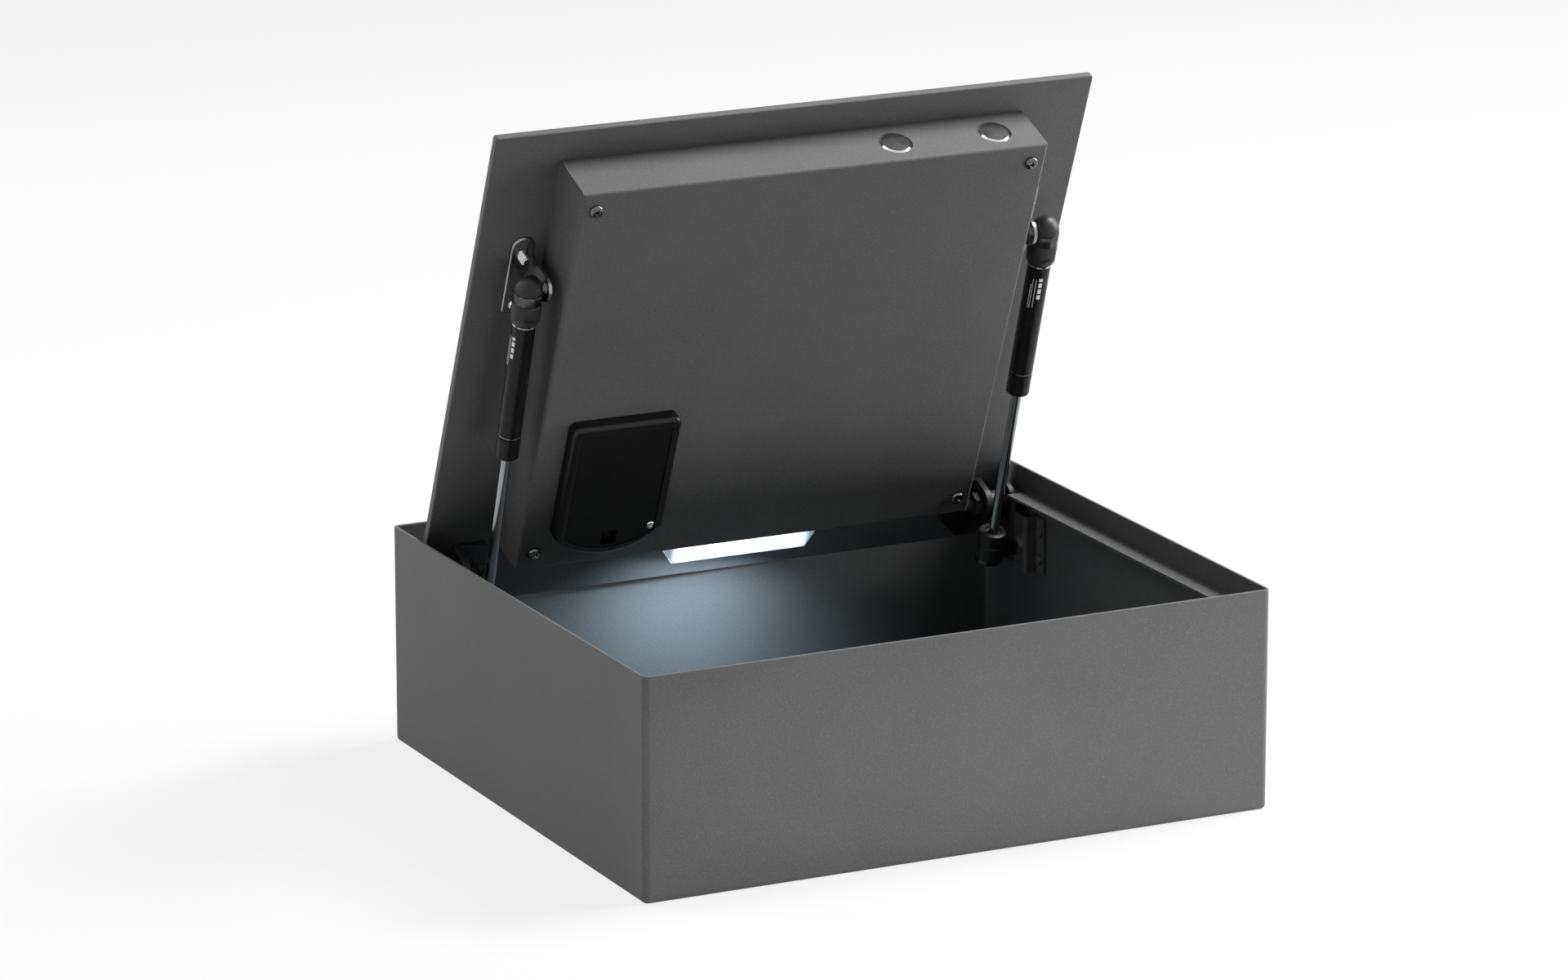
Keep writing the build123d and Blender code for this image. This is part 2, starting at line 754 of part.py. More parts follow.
# Gas strut tube: from the head socket to the rolled end that guides the rod
tube_end = tube_from_ball + tube_length
guide_start = tube_end - tube_end_length
with BuildPart() as strut_tube:
    with BuildSketch(strut_axis.offset(tube_from_ball)):
        Circle(tube_radius)
    extrude(amount=tube_length)
    tube_ends = strut_tube.faces().sort_by(Axis(head_ball, strut_line))
    fillet(tube_ends[0].edges() + tube_ends[-1].edges(), tube_wall)
    with BuildSketch(strut_axis.offset(guide_start)):
        Circle(tube_radius)
        Circle(tube_radius - tube_groove_depth, mode=Mode.SUBTRACT)
    extrude(amount=tube_groove_width, mode=Mode.SUBTRACT)
    with BuildSketch(strut_axis.offset(tube_from_ball + tube_wall)):
        Circle(tube_radius - tube_wall)
    extrude(amount=guide_start - tube_from_ball - tube_wall, mode=Mode.SUBTRACT)
    with BuildSketch(strut_axis.offset(guide_start)):
        Circle(rod_radius + running_clearance)
    extrude(amount=tube_end_length, mode=Mode.SUBTRACT)
save_pair(strut_tube, "strut_tube")

# Rod with its piston
foot_socket_start = strut_span - foot_socket_length
rod_start = guide_start - rod_inside_tube
with BuildPart() as strut_rod:
    with BuildSketch(strut_axis.offset(rod_start)):
        Circle(rod_radius)
    extrude(amount=foot_socket_start + socket_cup_depth - rod_start)
    with BuildSketch(strut_axis.offset(rod_start)):
        Circle(piston_radius)
    extrude(amount=piston_length)
save_pair(strut_rod, "strut_rod")

# Ball sockets: moulded heads, rounded beyond the ball, with a round collar for the tube or rod
strut_middle = Plane(origin=head_ball, x_dir=strut_line, z_dir=(1, 0, 0))


def socket_head(near, far):
    """The head between two places on the strut line, with its round end at the far one."""
    half = socket_width / 2
    shoulder = far - half if far > near else far + half
    with BuildPart() as head:
        with BuildSketch(strut_middle):
            with BuildLine():
                Polyline((shoulder, half), (near, half), (near, -half), (shoulder, -half))
                ThreePointArc((shoulder, -half), (far, 0), (shoulder, half))
            make_face()
        extrude(amount=socket_depth / 2, both=True)
        cheeks = head.faces().filter_by(Axis.X).group_by(Axis.X)
        fillet(cheeks[0].edges() + cheeks[-1].edges(), socket_cheek_radius)
    return head.part


# Head socket, open toward the ear of the lid bracket
pocket_radius = ball_radius + ball_clearance
head_block = socket_head(tube_from_ball - socket_collar_length, -head_socket_beyond_ball)
with BuildPart() as head_socket:
    add(head_block)
    with BuildSketch(strut_axis.offset(tube_from_ball - socket_collar_length)):
        Circle(socket_collar_radius)
    extrude(amount=socket_collar_length)
    with BuildSketch(Plane(origin=head_ball, x_dir=(1, 0, 0), z_dir=(0, -1, 0))):
        with BuildLine():
            Polyline((-pocket_radius, 0), (socket_depth, 0), (socket_depth, pocket_radius), (0, pocket_radius))
            RadiusArc((-pocket_radius, 0), (0, pocket_radius), pocket_radius)
        make_face()
    revolve(axis=Axis(head_ball, (1, 0, 0)), mode=Mode.SUBTRACT)
save_pair(head_socket, "upper_socket")

# Foot socket, open toward the wall bracket, where its ball has play along the slot
pocket_side = from_left(strut_from_side - socket_depth / 2)
pocket_plane = Plane(origin=(pocket_side, foot_ball.Y, foot_ball.Z), x_dir=strut_line, z_dir=(1, 0, 0))
pocket_depth = socket_depth / 2 + ball_radius + foot_pocket_gap
foot_block = socket_head(foot_socket_start + socket_cup_depth, strut_span + socket_beyond_ball)
with BuildPart() as foot_socket:
    add(foot_block)
    with BuildSketch(strut_axis.offset(foot_socket_start)):
        Circle(socket_collar_radius)
    extrude(amount=socket_collar_length)
    with BuildSketch(strut_axis.offset(foot_socket_start)):
        Circle(socket_mouth_radius)
    extrude(amount=socket_cup_depth, mode=Mode.SUBTRACT)
    with BuildSketch(pocket_plane):
        SlotCenterToCenter(2 * foot_pocket_play, 2 * (ball_radius + foot_pocket_gap), rotation=90)
    extrude(amount=pocket_depth, mode=Mode.SUBTRACT)
save_pair(foot_socket, "lower_socket")

# Bolt guide: a block bored for the two bolts, behind the housing's front
guide_front = housing_front - housing_sheet
guide_half = bolt_spacing / 2 + bolt_radius + guide_margin
with BuildPart() as bolt_guide:
    with BuildSketch(lid_cross(guide_front)):
        with Locations((bolt_offset, guide_depth / 2)):
            Rectangle(2 * guide_half, guide_depth)
        for place in bolt_places:
            with Locations((place, bolt_depth)):
                Circle(bolt_radius + running_clearance, mode=Mode.SUBTRACT)
    extrude(amount=guide_length)
save(bolt_guide, "bolt_guide")

# Bolts, drawn back
bolt_front = housing_front + bolt_proud
bolt_back = bolt_front - bolt_length
with BuildPart() as locking_bolts:
    with BuildSketch(lid_cross(bolt_front)):
        for place in bolt_places:
            with Locations((place, bolt_depth)):
                Circle(bolt_radius)
    extrude(amount=bolt_length)
    bolt_tips = locking_bolts.faces().group_by(Axis(lid_corner, along))[-1]
    chamfer(bolt_tips.edges(), bolt_end_chamfer)
save(locking_bolts, "locking_bolts")

# Rack and pinion: standard teeth, with the rack's tips kept clear of the pinion's roots
pitch_radius = rack_module * pinion_teeth / 2
tooth_pitch = pi * rack_module
rack_teeth_behind = ceil(bolt_travel / tooth_pitch) + rack_teeth_spare
flank_angle = radians(rack_pressure_angle)
base_radius = pitch_radius * cos(flank_angle)
pinion_tip_radius = pitch_radius + rack_module
pinion_root_radius = pitch_radius - rack_module - rack_root_gap
rack_addendum = pitch_radius * sin(flank_angle) ** 2 - rack_root_gap / 2
tooth_half_width = (tooth_pitch / 2 - rack_backlash) / 2
carriage_front = bolt_back
carriage_back = carriage_front - carriage_thickness
pinion_place = carriage_back - pinion_tip_radius - pinion_from_carriage
rack_line = bolt_offset - rack_from_middle
pinion_x = rack_line - pitch_radius


def rack_teeth():
    """The rack's teeth, side by side, pointing at the pinion; one stands on its centre line."""
    slope = tan(flank_angle)
    root = rack_line + rack_module + rack_root_gap
    tip = rack_line - rack_addendum
    root_half = tooth_half_width + (root - rack_line) * slope
    tip_half = tooth_half_width - rack_addendum * slope
    with BuildSketch(Plane.XY) as teeth:
        for count in range(rack_teeth_behind + rack_teeth_ahead + 1):
            place = pinion_place + (count - rack_teeth_behind) * tooth_pitch
            Polygon(
                (root, place - root_half),
                (tip, place - tip_half),
                (tip, place + tip_half),
                (root, place + root_half),
                align=None,
            )
    return teeth.sketch


def flank_half_angle(radius):
    """Half the angle that a pinion tooth covers at a radius on its curved flank."""
    roll = acos(min(base_radius / radius, 1))
    spread = tan(flank_angle) - flank_angle - (tan(roll) - roll)
    return tooth_half_width / pitch_radius + spread


# Carriage across the bolts' back ends, with the rack behind it
rack_back = pinion_place - (rack_teeth_behind + 1 / 2) * tooth_pitch
rack_root_line = rack_line + rack_module + rack_root_gap
carriage_half = bolt_spacing / 2 + bolt_radius
rack_section = rack_teeth()
with BuildPart() as bolt_carriage:
    with BuildSketch(lid_cross(carriage_front)):
        with Locations((bolt_offset, bolt_depth)):
            SlotOverall(2 * carriage_half, carriage_height)
    extrude(amount=carriage_thickness)
    with BuildSketch(lid_level(rack_plane_depth)):
        with Locations((rack_root_line + rack_body / 2, (rack_back + carriage_back) / 2)):
            Rectangle(rack_body, carriage_back - rack_back)
        add(rack_section)
    extrude(amount=pinion_width)
save(bolt_carriage, "bolt_carriage")

# Pinion with its shaft
shaft_foot = motor_gearbox_height - pinion_shaft_seat
shaft_end = rack_plane_depth + pinion_width + pinion_shaft_radius
flank_radii = [base_radius, (base_radius + pitch_radius) / 2, pitch_radius, pinion_tip_radius]
with BuildPart() as drive_pinion:
    with BuildSketch(lid_level(rack_plane_depth)):
        with Locations((pinion_x, pinion_place)):
            Circle(pinion_root_radius)
            with PolarLocations(0, pinion_teeth, start_angle=180 / pinion_teeth):
                root_half_angle = flank_half_angle(base_radius)
                inner_radius = pinion_root_radius - rack_root_gap
                rising = [(inner_radius * cos(root_half_angle), -inner_radius * sin(root_half_angle))]
                for radius in flank_radii:
                    angle = flank_half_angle(radius)
                    rising.append((radius * cos(angle), -radius * sin(angle)))
                falling = [(x, -y) for x, y in reversed(rising)]
                Polygon(*rising, *falling, align=None)
    extrude(amount=pinion_width)
    with BuildSketch(lid_level(shaft_foot)):
        with Locations((pinion_x, pinion_place)):
            Circle(pinion_shaft_radius)
    extrude(amount=shaft_end - shaft_foot)
save(drive_pinion, "drive_pinion")

# Gear motor: a gearbox under the pinion with its motor can beside
gearbox_x = pinion_x - motor_can_radius + motor_gearbox_margin
can_place = pinion_place - motor_can_offset
with BuildPart() as drive_motor:
    with BuildSketch(lid_level(0)):
        with Locations((pinion_x, pinion_place)):
            Circle(motor_gearbox_radius)
        with Locations((gearbox_x, can_place)):
            Circle(motor_gearbox_radius)
        make_hull()
    extrude(amount=motor_gearbox_height)
    with BuildSketch(lid_level(motor_gearbox_height)):
        with Locations((gearbox_x, can_place)):
            Circle(motor_can_radius)
    extrude(amount=motor_can_height)
    with BuildSketch(lid_level(shaft_foot - side_clearance)):
        with Locations((pinion_x, pinion_place)):
            Circle(pinion_shaft_radius + running_clearance)
    extrude(amount=motor_gearbox_height, mode=Mode.SUBTRACT)
save(drive_motor, "drive_motor")


# Battery compartment
def frame_outline(inset):
    """The outline of the battery frame, or one inset from it: straight sides and a bowed foot."""
    half = frame_width / 2 - inset
    left = frame_middle - half
    right = frame_middle + half
    top = frame_top - inset
    foot = frame_bottom + inset
    with BuildSketch(Plane.XY) as outline:
        with BuildLine():
            Polyline((left, frame_shoulder), (left, top), (right, top), (right, frame_shoulder))
            ThreePointArc((right, frame_shoulder), (frame_middle, foot), (left, frame_shoulder))
        make_face()
        fillet(outline.vertices(), max(frame_corner_radius - inset, frame_corner_radius / 4))
    return outline.sketch


frame_face = frame_outline(0)
recess_face = frame_outline(door_inset)
window_face = frame_outline(door_inset + frame_seat)
door_face = frame_outline(door_inset + door_gap)
frame_face_level = housing_height + frame_height
door_top = frame_face_level - door_sunk
door_base = door_top - door_thickness
with BuildPart() as battery_frame:
    with BuildSketch(lid_level(housing_height)):
        add(frame_face)
    extrude(amount=frame_height)
    fillet(battery_frame.faces().sort_by(Axis(lid_corner, inward))[-1].edges(), frame_edge_radius)
    with BuildSketch(lid_level(door_base)):
        add(recess_face)
    extrude(amount=frame_height, mode=Mode.SUBTRACT)
    with BuildSketch(lid_level(housing_height)):
        add(window_face)
        with Locations((frame_middle, reset_window_place)):
            Rectangle(reset_window, reset_window)
    extrude(amount=frame_height, mode=Mode.SUBTRACT)
save(battery_frame, "battery_frame")

door_screw_x = frame_middle + frame_width / 2 - door_inset - door_screw_from_edge
door_screw_place = frame_shoulder + door_screw_from_shoulder
with BuildPart() as battery_door:
    with BuildSketch(lid_level(door_base)):
        add(door_face)
        with Locations((frame_middle, reset_window_place)):
            Rectangle(reset_window, reset_window, mode=Mode.SUBTRACT)
        with Locations((door_screw_x, door_screw_place)):
            Circle(door_screw_radius / 2 + fit_clearance, mode=Mode.SUBTRACT)
    extrude(amount=door_thickness)
    door_front = battery_door.faces().sort_by(Axis(lid_corner, inward))[-1]
    fillet(door_front.outer_wire().edges(), door_edge_rounding)
save(battery_door, "battery_door")

with BuildPart() as door_screw:
    with BuildSketch(lid_level(door_base)):
        with Locations((door_screw_x, door_screw_place)):
            Circle(door_screw_radius / 2)
    extrude(amount=door_thickness)
    with BuildSketch(lid_level(door_top)):
        with Locations((door_screw_x, door_screw_place)):
            Circle(door_screw_radius)
    extrude(amount=door_screw_height)
    fillet(door_screw.faces().sort_by(Axis(lid_corner, inward))[-1].edges(), door_screw_height / 2)
save(door_screw, "door_screw")

# Reset switch: a guide on the housing and the sprung button in it
reset_base = reset_window - 2 * side_clearance
button_foot = housing_height + reset_travel + side_clearance
with BuildPart() as reset_switch:
    with BuildSketch(lid_level(housing_height)):
        with Locations((frame_middle, reset_window_place)):
            Rectangle(reset_base, reset_base)
            Circle(reset_button_radius + side_clearance, mode=Mode.SUBTRACT)
    extrude(amount=reset_base_height)
save(reset_switch, "reset_switch")

with BuildPart() as reset_button:
    with BuildSketch(lid_level(button_foot)):
        with Locations((frame_middle, reset_window_place)):
            Circle(reset_button_radius)
    extrude(amount=reset_stem_length)
    fillet(
        reset_button.faces().sort_by(Axis(lid_corner, inward))[-1].edges(),
        reset_button_radius * reset_dome_share,
    )
save(reset_button, "reset_button")

# Battery tray under the housing's opening, and the cells lying across it
tray_floor = post_height - 2 * cell_radius - tray_wall - fit_clearance
with BuildPart() as battery_tray:
    with BuildSketch(lid_level(tray_floor)):
        with Locations((frame_middle, tray_place)):
            Rectangle(tray_inner_width + 2 * tray_wall, tray_inner_length + 2 * tray_wall)
    extrude(amount=post_height - tray_floor)
    with BuildSketch(lid_level(tray_floor + tray_wall)):
        with Locations((frame_middle, tray_place)):
            Rectangle(tray_inner_width, tray_inner_length)
    extrude(amount=post_height - tray_floor - tray_wall, mode=Mode.SUBTRACT)
save(battery_tray, "battery_tray")

cell_level = tray_floor + tray_wall + cell_radius
with BuildPart() as battery_cells:
    for count in range(cell_count):
        cell_place = tray_place + (count - (cell_count - 1) / 2) * cell_pitch
        facing = 1 if count % 2 else -1
        cell_plane = lid_side(frame_middle - facing * cell_length / 2)
        with BuildSketch(cell_plane):
            with Locations((cell_place, cell_level)):
                Circle(cell_radius)
        extrude(amount=facing * cell_length)
        with BuildSketch(cell_plane):
            with Locations((cell_place, cell_level)):
                Circle(cell_nub_radius)
        extrude(amount=facing * (cell_length + cell_nub_length))
save(battery_cells, "battery_cells")

# Light bar: a bevelled lens through the housing's back, with its board behind
lens_base = housing_back + housing_sheet
with BuildPart() as led_lens:
    with BuildSketch(lid_level(lens_depth)):
        with BuildLine():
            Polyline(
                (-lens_width / 2, lens_base),
                (-lens_width / 2, housing_back),
                (-lens_tip_width / 2, housing_back - lens_reach),
                (lens_tip_width / 2, housing_back - lens_reach),
                (lens_width / 2, housing_back),
                (lens_width / 2, lens_base),
                close=True,
            )
        make_face()
    extrude(amount=lens_height)
    lens_tip = led_lens.faces().sort_by(Axis(lid_corner, along))[0]
    fillet(lens_tip.edges(), lens_edge_radius)
    with BuildSketch(lid_level(lens_depth - lens_flange)):
        with Locations((0, lens_base + lens_flange / 2)):
            Rectangle(lens_width + 2 * lens_flange, lens_flange)
    extrude(amount=lens_height + 2 * lens_flange)
save(led_lens, "led_lens")

with BuildPart() as led_board:
    with BuildSketch(lid_level(lens_depth)):
        with Locations((0, lens_base + lens_flange + light_board_thickness / 2)):
            Rectangle(lens_width, light_board_thickness)
    extrude(amount=lens_height)
save(led_board, "led_board")

# Keypad: a bezel with keys and a window, and the board behind them
bezel_level = -lid_thickness - keypad_rise
key_block_middle = keypad_place + key_block_place
window_middle = keypad_place - window_place
with BuildPart() as keypad_bezel:
    with BuildSketch(lid_level(bezel_level)):
        with Locations((0, keypad_place)):
            RectangleRounded(keypad_width, keypad_length, keypad_corner_radius)
    extrude(amount=keypad_rise)
    fillet(keypad_bezel.faces().sort_by(Axis(lid_corner, inward))[0].edges(), keypad_rise / 2)
    with BuildSketch(lid_level(bezel_level)):
        with Locations((0, key_block_middle)):
            with GridLocations(key_pitch_x, key_pitch_y, key_columns, key_rows):
                RectangleRounded(
                    key_width + 2 * side_clearance, key_length + 2 * side_clearance, key_corner_radius
                )
        with Locations((0, window_middle)):
            Rectangle(window_width, window_length)
    extrude(amount=keypad_rise, mode=Mode.SUBTRACT)
save(keypad_bezel, "keypad_bezel")

with BuildPart() as display_window:
    with BuildSketch(lid_level(bezel_level + fit_clearance)):
        with Locations((0, window_middle)):
            Rectangle(window_width - 2 * fit_clearance, window_length - 2 * fit_clearance)
    extrude(amount=window_thickness)
save(display_window, "display_window")

flange_level = -lid_thickness + side_clearance
key_foot = flange_level + key_flange_thickness
for row in range(key_rows):
    for column in range(key_columns):
        key_x = (column - (key_columns - 1) / 2) * key_pitch_x
        key_place = key_block_middle + (row - (key_rows - 1) / 2) * key_pitch_y
        with BuildPart() as key:
            with BuildSketch(lid_level(bezel_level - key_rise)):
                with Locations((key_x, key_place)):
                    RectangleRounded(key_width, key_length, key_corner_radius)
            extrude(amount=key_foot - bezel_level + key_rise)
            fillet(key.faces().sort_by(Axis(lid_corner, inward))[0].edges(), key_rise / 2)
            with BuildSketch(lid_level(flange_level)):
                with Locations((key_x, key_place)):
                    Rectangle(key_width + 2 * key_flange, key_length + 2 * key_flange)
            extrude(amount=key_flange_thickness)
        save(key, f"key_{row + 1}_{column + 1}")

board_level = key_foot + key_travel + side_clearance
with BuildPart() as keypad_board:
    with BuildSketch(lid_level(board_level)):
        with Locations((0, keypad_place)):
            RectangleRounded(
                keypad_opening_width - 2 * fit_clearance,
                keypad_opening_length - 2 * fit_clearance,
                lid_corner_radius,
            )
    extrude(amount=keypad_board_thickness)
save(keypad_board, "keypad_board")
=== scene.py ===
import json
from math import atan2, cos, pi, radians, sin

import bpy
from mathutils import Matrix, Vector

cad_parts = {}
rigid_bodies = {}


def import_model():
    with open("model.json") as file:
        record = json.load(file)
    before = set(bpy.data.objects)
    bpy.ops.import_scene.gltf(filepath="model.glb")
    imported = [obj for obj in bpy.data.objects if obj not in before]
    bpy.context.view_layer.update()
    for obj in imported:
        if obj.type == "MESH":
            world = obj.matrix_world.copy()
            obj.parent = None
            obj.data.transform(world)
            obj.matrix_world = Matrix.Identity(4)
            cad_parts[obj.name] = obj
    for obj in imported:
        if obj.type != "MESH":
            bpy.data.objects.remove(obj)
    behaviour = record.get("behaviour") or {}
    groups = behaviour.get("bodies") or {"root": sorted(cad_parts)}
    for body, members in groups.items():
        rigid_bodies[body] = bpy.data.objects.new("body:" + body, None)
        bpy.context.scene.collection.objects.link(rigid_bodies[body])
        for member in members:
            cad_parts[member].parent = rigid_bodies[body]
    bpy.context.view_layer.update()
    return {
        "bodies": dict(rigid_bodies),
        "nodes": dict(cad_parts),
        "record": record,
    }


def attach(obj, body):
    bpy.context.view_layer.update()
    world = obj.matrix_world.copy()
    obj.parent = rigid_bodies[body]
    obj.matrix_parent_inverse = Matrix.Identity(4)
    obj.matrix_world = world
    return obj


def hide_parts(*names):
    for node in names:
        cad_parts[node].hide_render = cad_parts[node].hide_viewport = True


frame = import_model()
nodes = frame["nodes"]

MM = 0.001

# Places and sizes that pieces and materials share, in millimetres. On the lid they are counted across
# from its middle, along from its hinge edge, and inward from its inner face.
body_half_width = 200
body_half_depth = 175
body_height = 133
wall_inside = 196
housing_back = 48
housing_front = 316
housing_top = 35.5
battery_across = -97.5
battery_door_top = 44.2
bolts_across = 90
bolt_half_spacing = 32.5
bolt_inward = 17.5
bolt_face_radius = 8.5
lens_half_length = 46
lens_along = 34
led_pitch = 17
display_along = 182
key_block_along = 240
key_pitch_x = 20
key_pitch_y = 16
key_top = 7.9
strut_span = 223.69
tube_shoulder = 22.5
tube_crimp = 97


# Where things are: the lid's own axes, and the lines of the two struts
joints = {joint["name"]: joint for joint in frame["record"]["behaviour"]["joints"]}
hinge = joints["lid_hinge"]
lid_open = radians(hinge["range_deg"][1])
along = Vector((0, -cos(lid_open), sin(lid_open)))
inward = Vector((0, -sin(lid_open), -cos(lid_open)))
pivot_along = 35
pivot_depth = 13.5
lid_corner = Vector(hinge["pos_m"]) - along * pivot_along * MM - inward * pivot_depth * MM


def axes(origin, x, y, z):
    """A placing matrix: millimetres along three axes, from an origin in metres."""
    turn = Matrix((x, y, z)).transposed().to_4x4()
    return Matrix.Translation(origin) @ turn @ Matrix.Scale(MM, 4)


UP = Vector((0, 0, 1))
RIGHT = Vector((1, 0, 0))
lid_axes = axes(lid_corner, RIGHT, along, inward)
outer_axes = axes(lid_corner, RIGHT, -along, -inward)
upper_ball = {side: Vector(joints[f"{side}_strut_pivot"]["pos_m"]) for side in ("left", "right")}
strut_line = -Vector(joints["left_strut_slide"]["axis"])
lower_ball = {side: upper_ball[side] + strut_line * strut_span * MM for side in upper_ball}
outward = {"left": -RIGHT, "right": RIGHT}


# Materials
class Wire:
    """A shader value. Arithmetic on it adds Math nodes to its surface."""

    def __init__(self, surface, socket):
        self.surface = surface
        self.socket = socket

    def sum_of(self, operation, *values, **settings):
        settings["operation"] = operation
        return self.surface.node("ShaderNodeMath", settings, dict(enumerate(values)))

    def __add__(self, other):
        return self.sum_of("ADD", self, other)

    __radd__ = __add__

    def __sub__(self, other):
        return self.sum_of("SUBTRACT", self, other)

    def __rsub__(self, other):
        return self.sum_of("SUBTRACT", other, self)

    def __mul__(self, other):
        return self.sum_of("MULTIPLY", self, other)

    __rmul__ = __mul__

    def __lt__(self, other):
        return self.sum_of("LESS_THAN", self, other)

    def __abs__(self):
        return self.sum_of("ABSOLUTE", self)

    def rooted(self):
        return self.sum_of("SQRT", self)

    def steps(self, low, high):
        """0 below low, 1 above high, smooth between them."""
        settings = {"interpolation_type": "SMOOTHSTEP"}
        values = {"Value": self, "From Min": low, "From Max": high}
        return self.surface.node("ShaderNodeMapRange", settings, values)


class Surface:
    """A material with one Principled shader."""

    def __init__(self, name, **fixed):
        self.material = bpy.data.materials.new(name)
        self.material.use_nodes = True
        self.tree = self.material.node_tree
        self.tree.nodes.clear()
        self.shader = self.tree.nodes.new("ShaderNodeBsdfPrincipled")
        output = self.tree.nodes.new("ShaderNodeOutputMaterial")
        self.tree.links.new(self.shader.outputs[0], output.inputs["Surface"])
        for name, value in fixed.items():
            self.shader.inputs[name.replace("_", " ")].default_value = value
        self.place = self.node("ShaderNodeTexCoord", {}, {}, "Object")

    def node(self, kind, settings, inputs, output=0):
        """Any node: its type, its settings, and the values or wires of its sockets."""
        made = self.tree.nodes.new(kind)
        for name, value in settings.items():
            if name == "stops":
                ramp = made.color_ramp
                while len(ramp.elements) < len(value):
                    ramp.elements.new(1)
                for element, (position, colour) in zip(ramp.elements, value):
                    element.position = position
                    element.color = (*colour, 1)
            else:
                setattr(made, name, value)
        for name, value in inputs.items():
            self.feed(made.inputs[name], value)
        return Wire(self, made.outputs[output])

    def feed(self, socket, value):
        if isinstance(value, Wire):
            self.tree.links.new(value.socket, socket)
        elif isinstance(value, tuple) and socket.type == "RGBA":
            socket.default_value = (*value, 1)
        else:
            socket.default_value = value

    def set(self, **inputs):
        for name, value in inputs.items():
            self.feed(self.shader.inputs[name.replace("_", " ")], value)
        return self

    def noise(self, scale, detail=2, roughness=0.5, stretch=None):
        place = self.place
        if stretch:
            place = self.node("ShaderNodeMapping", {}, {"Vector": place, "Scale": stretch})
        values = {"Vector": place, "Scale": scale, "Detail": detail, "Roughness": roughness}
        return self.node("ShaderNodeTexNoise", {}, values)

    def mix(self, factor, first, second):
        return self.node("ShaderNodeMix", {"data_type": "RGBA"}, {0: factor, 6: first, 7: second}, 2)

    def ramp(self, factor, *stops):
        return self.node("ShaderNodeValToRGB", {"stops": stops}, {0: factor})

    def bump(self, height, distance, strength=1):
        values = {"Height": height, "Distance": distance, "Strength": strength}
        return self.set(Normal=self.node("ShaderNodeBump", {}, values))

    def parts(self):
        """The place's three coordinates, in millimetres."""
        split = self.node("ShaderNodeSeparateXYZ", {}, {0: self.place})
        outputs = split.socket.node.outputs
        return [Wire(self, socket) * (1 / MM) for socket in outputs]

    def measured(self, origin, direction):
        """How far the place lies from an origin along a direction, in millimetres."""
        shifted = self.node("ShaderNodeVectorMath", {"operation": "SUBTRACT"}, {0: self.place, 1: origin})
        reach = {0: shifted, 1: direction}
        return self.node("ShaderNodeVectorMath", {"operation": "DOT_PRODUCT"}, reach, "Value") * (1 / MM)


def grey(value, tint=0.0):
    return (value * (1 - tint), value, value * (1 + tint))


def powder_coat():
    """Fine-textured graphite powder coat: small lighter grains on a darker ground."""
    s = Surface("powder_coat_graphite", Specular_IOR_Level=0.12)
    grain = s.noise(1150, 3, 0.6)
    cloud = s.noise(14, 3)
    fleck = grain.steps(0.56, 0.72)
    tone = grain * 0.5 + cloud * 0.25
    ground = s.ramp(tone, (0.2, grey(0.092)), (0.36, grey(0.112)), (0.55, grey(0.132)))
    s.set(Base_Color=s.mix(fleck * 0.3, ground, grey(0.22)))
    s.set(Roughness=0.58 + cloud * 0.1 - fleck * 0.14)
    return s.bump(grain * 0.8 + s.noise(420, 2) * 0.5, 0.00022, 0.55).material


def black_paint(name="black_stoved_paint", low=0.011, high=0.026, shine=0.3):
    s = Surface(name, Specular_IOR_Level=shine)
    fine = s.noise(900, 3)
    rub = s.noise(55, 4, 0.65)
    s.set(Base_Color=s.ramp(rub, (0.3, grey(low)), (0.7, grey(high))))
    s.set(Roughness=0.34 + rub * 0.22)
    return s.bump(fine + rub * 0.5, 0.00008, 0.5).material


def strut_black():
    """Black lacquer on the tube, with painted highlights as bright rings along the crimp and the shoulder."""
    s = Surface("strut_tube_black", Specular_IOR_Level=0.16, Coat_Roughness=0.1)
    drawn = s.noise(60, 3, 0.6, (14, 14, 1))
    dust = s.noise(300, 3)
    down = s.measured(tuple(upper_ball["left"]), tuple(strut_line))
    crimp = 1 - (abs(down - tube_crimp) - 0.2).steps(0, 0.15)
    shoulder = 1 - (abs(down - tube_shoulder) - 0.25).steps(0, 0.2)
    # painted highlight: a bright, partly metallic ring all round the crimp and the shoulder, broken up by
    # noise
    painted_ring_highlight = (crimp + shoulder) * dust.steps(0.3, 0.5)
    lacquer = s.ramp(dust, (0.3, grey(0.004)), (0.75, grey(0.009)))
    s.set(Base_Color=s.mix(painted_ring_highlight * 0.8, lacquer, grey(0.5)))
    s.set(Roughness=0.24 + drawn * 0.12, Coat_Weight=0.04 + dust * 0.08, Metallic=painted_ring_highlight * 0.6)
    return s.bump(drawn, 0.00004, 0.4).material


def rod_metal():
    """Ground and plated: nearly a mirror, with a thin oil film."""
    s = Surface("rod_dark_ground", Metallic=1.0)
    oil = s.noise(24, 3)
    s.set(Base_Color=s.ramp(oil, (0.3, grey(0.24, 0.03)), (0.7, grey(0.36, 0.03))))
    s.set(Roughness=0.1 + oil * 0.1)
    return s.bump(oil, 0.00002, 0.3).material


def zinc_plate(name="zinc_plate", low=0.3, high=0.58, rough=0.26):
    s = Surface(name, Metallic=1.0)
    spangle = s.noise(240, 4, 0.65)
    haze = s.noise(45, 3)
    s.set(Base_Color=s.ramp(haze * 0.6 + spangle * 0.4, (0.3, grey(low)), (0.7, grey(high))))
    s.set(Roughness=rough + spangle * 0.2)
    return s.bump(spangle, 0.00006, 0.5).material


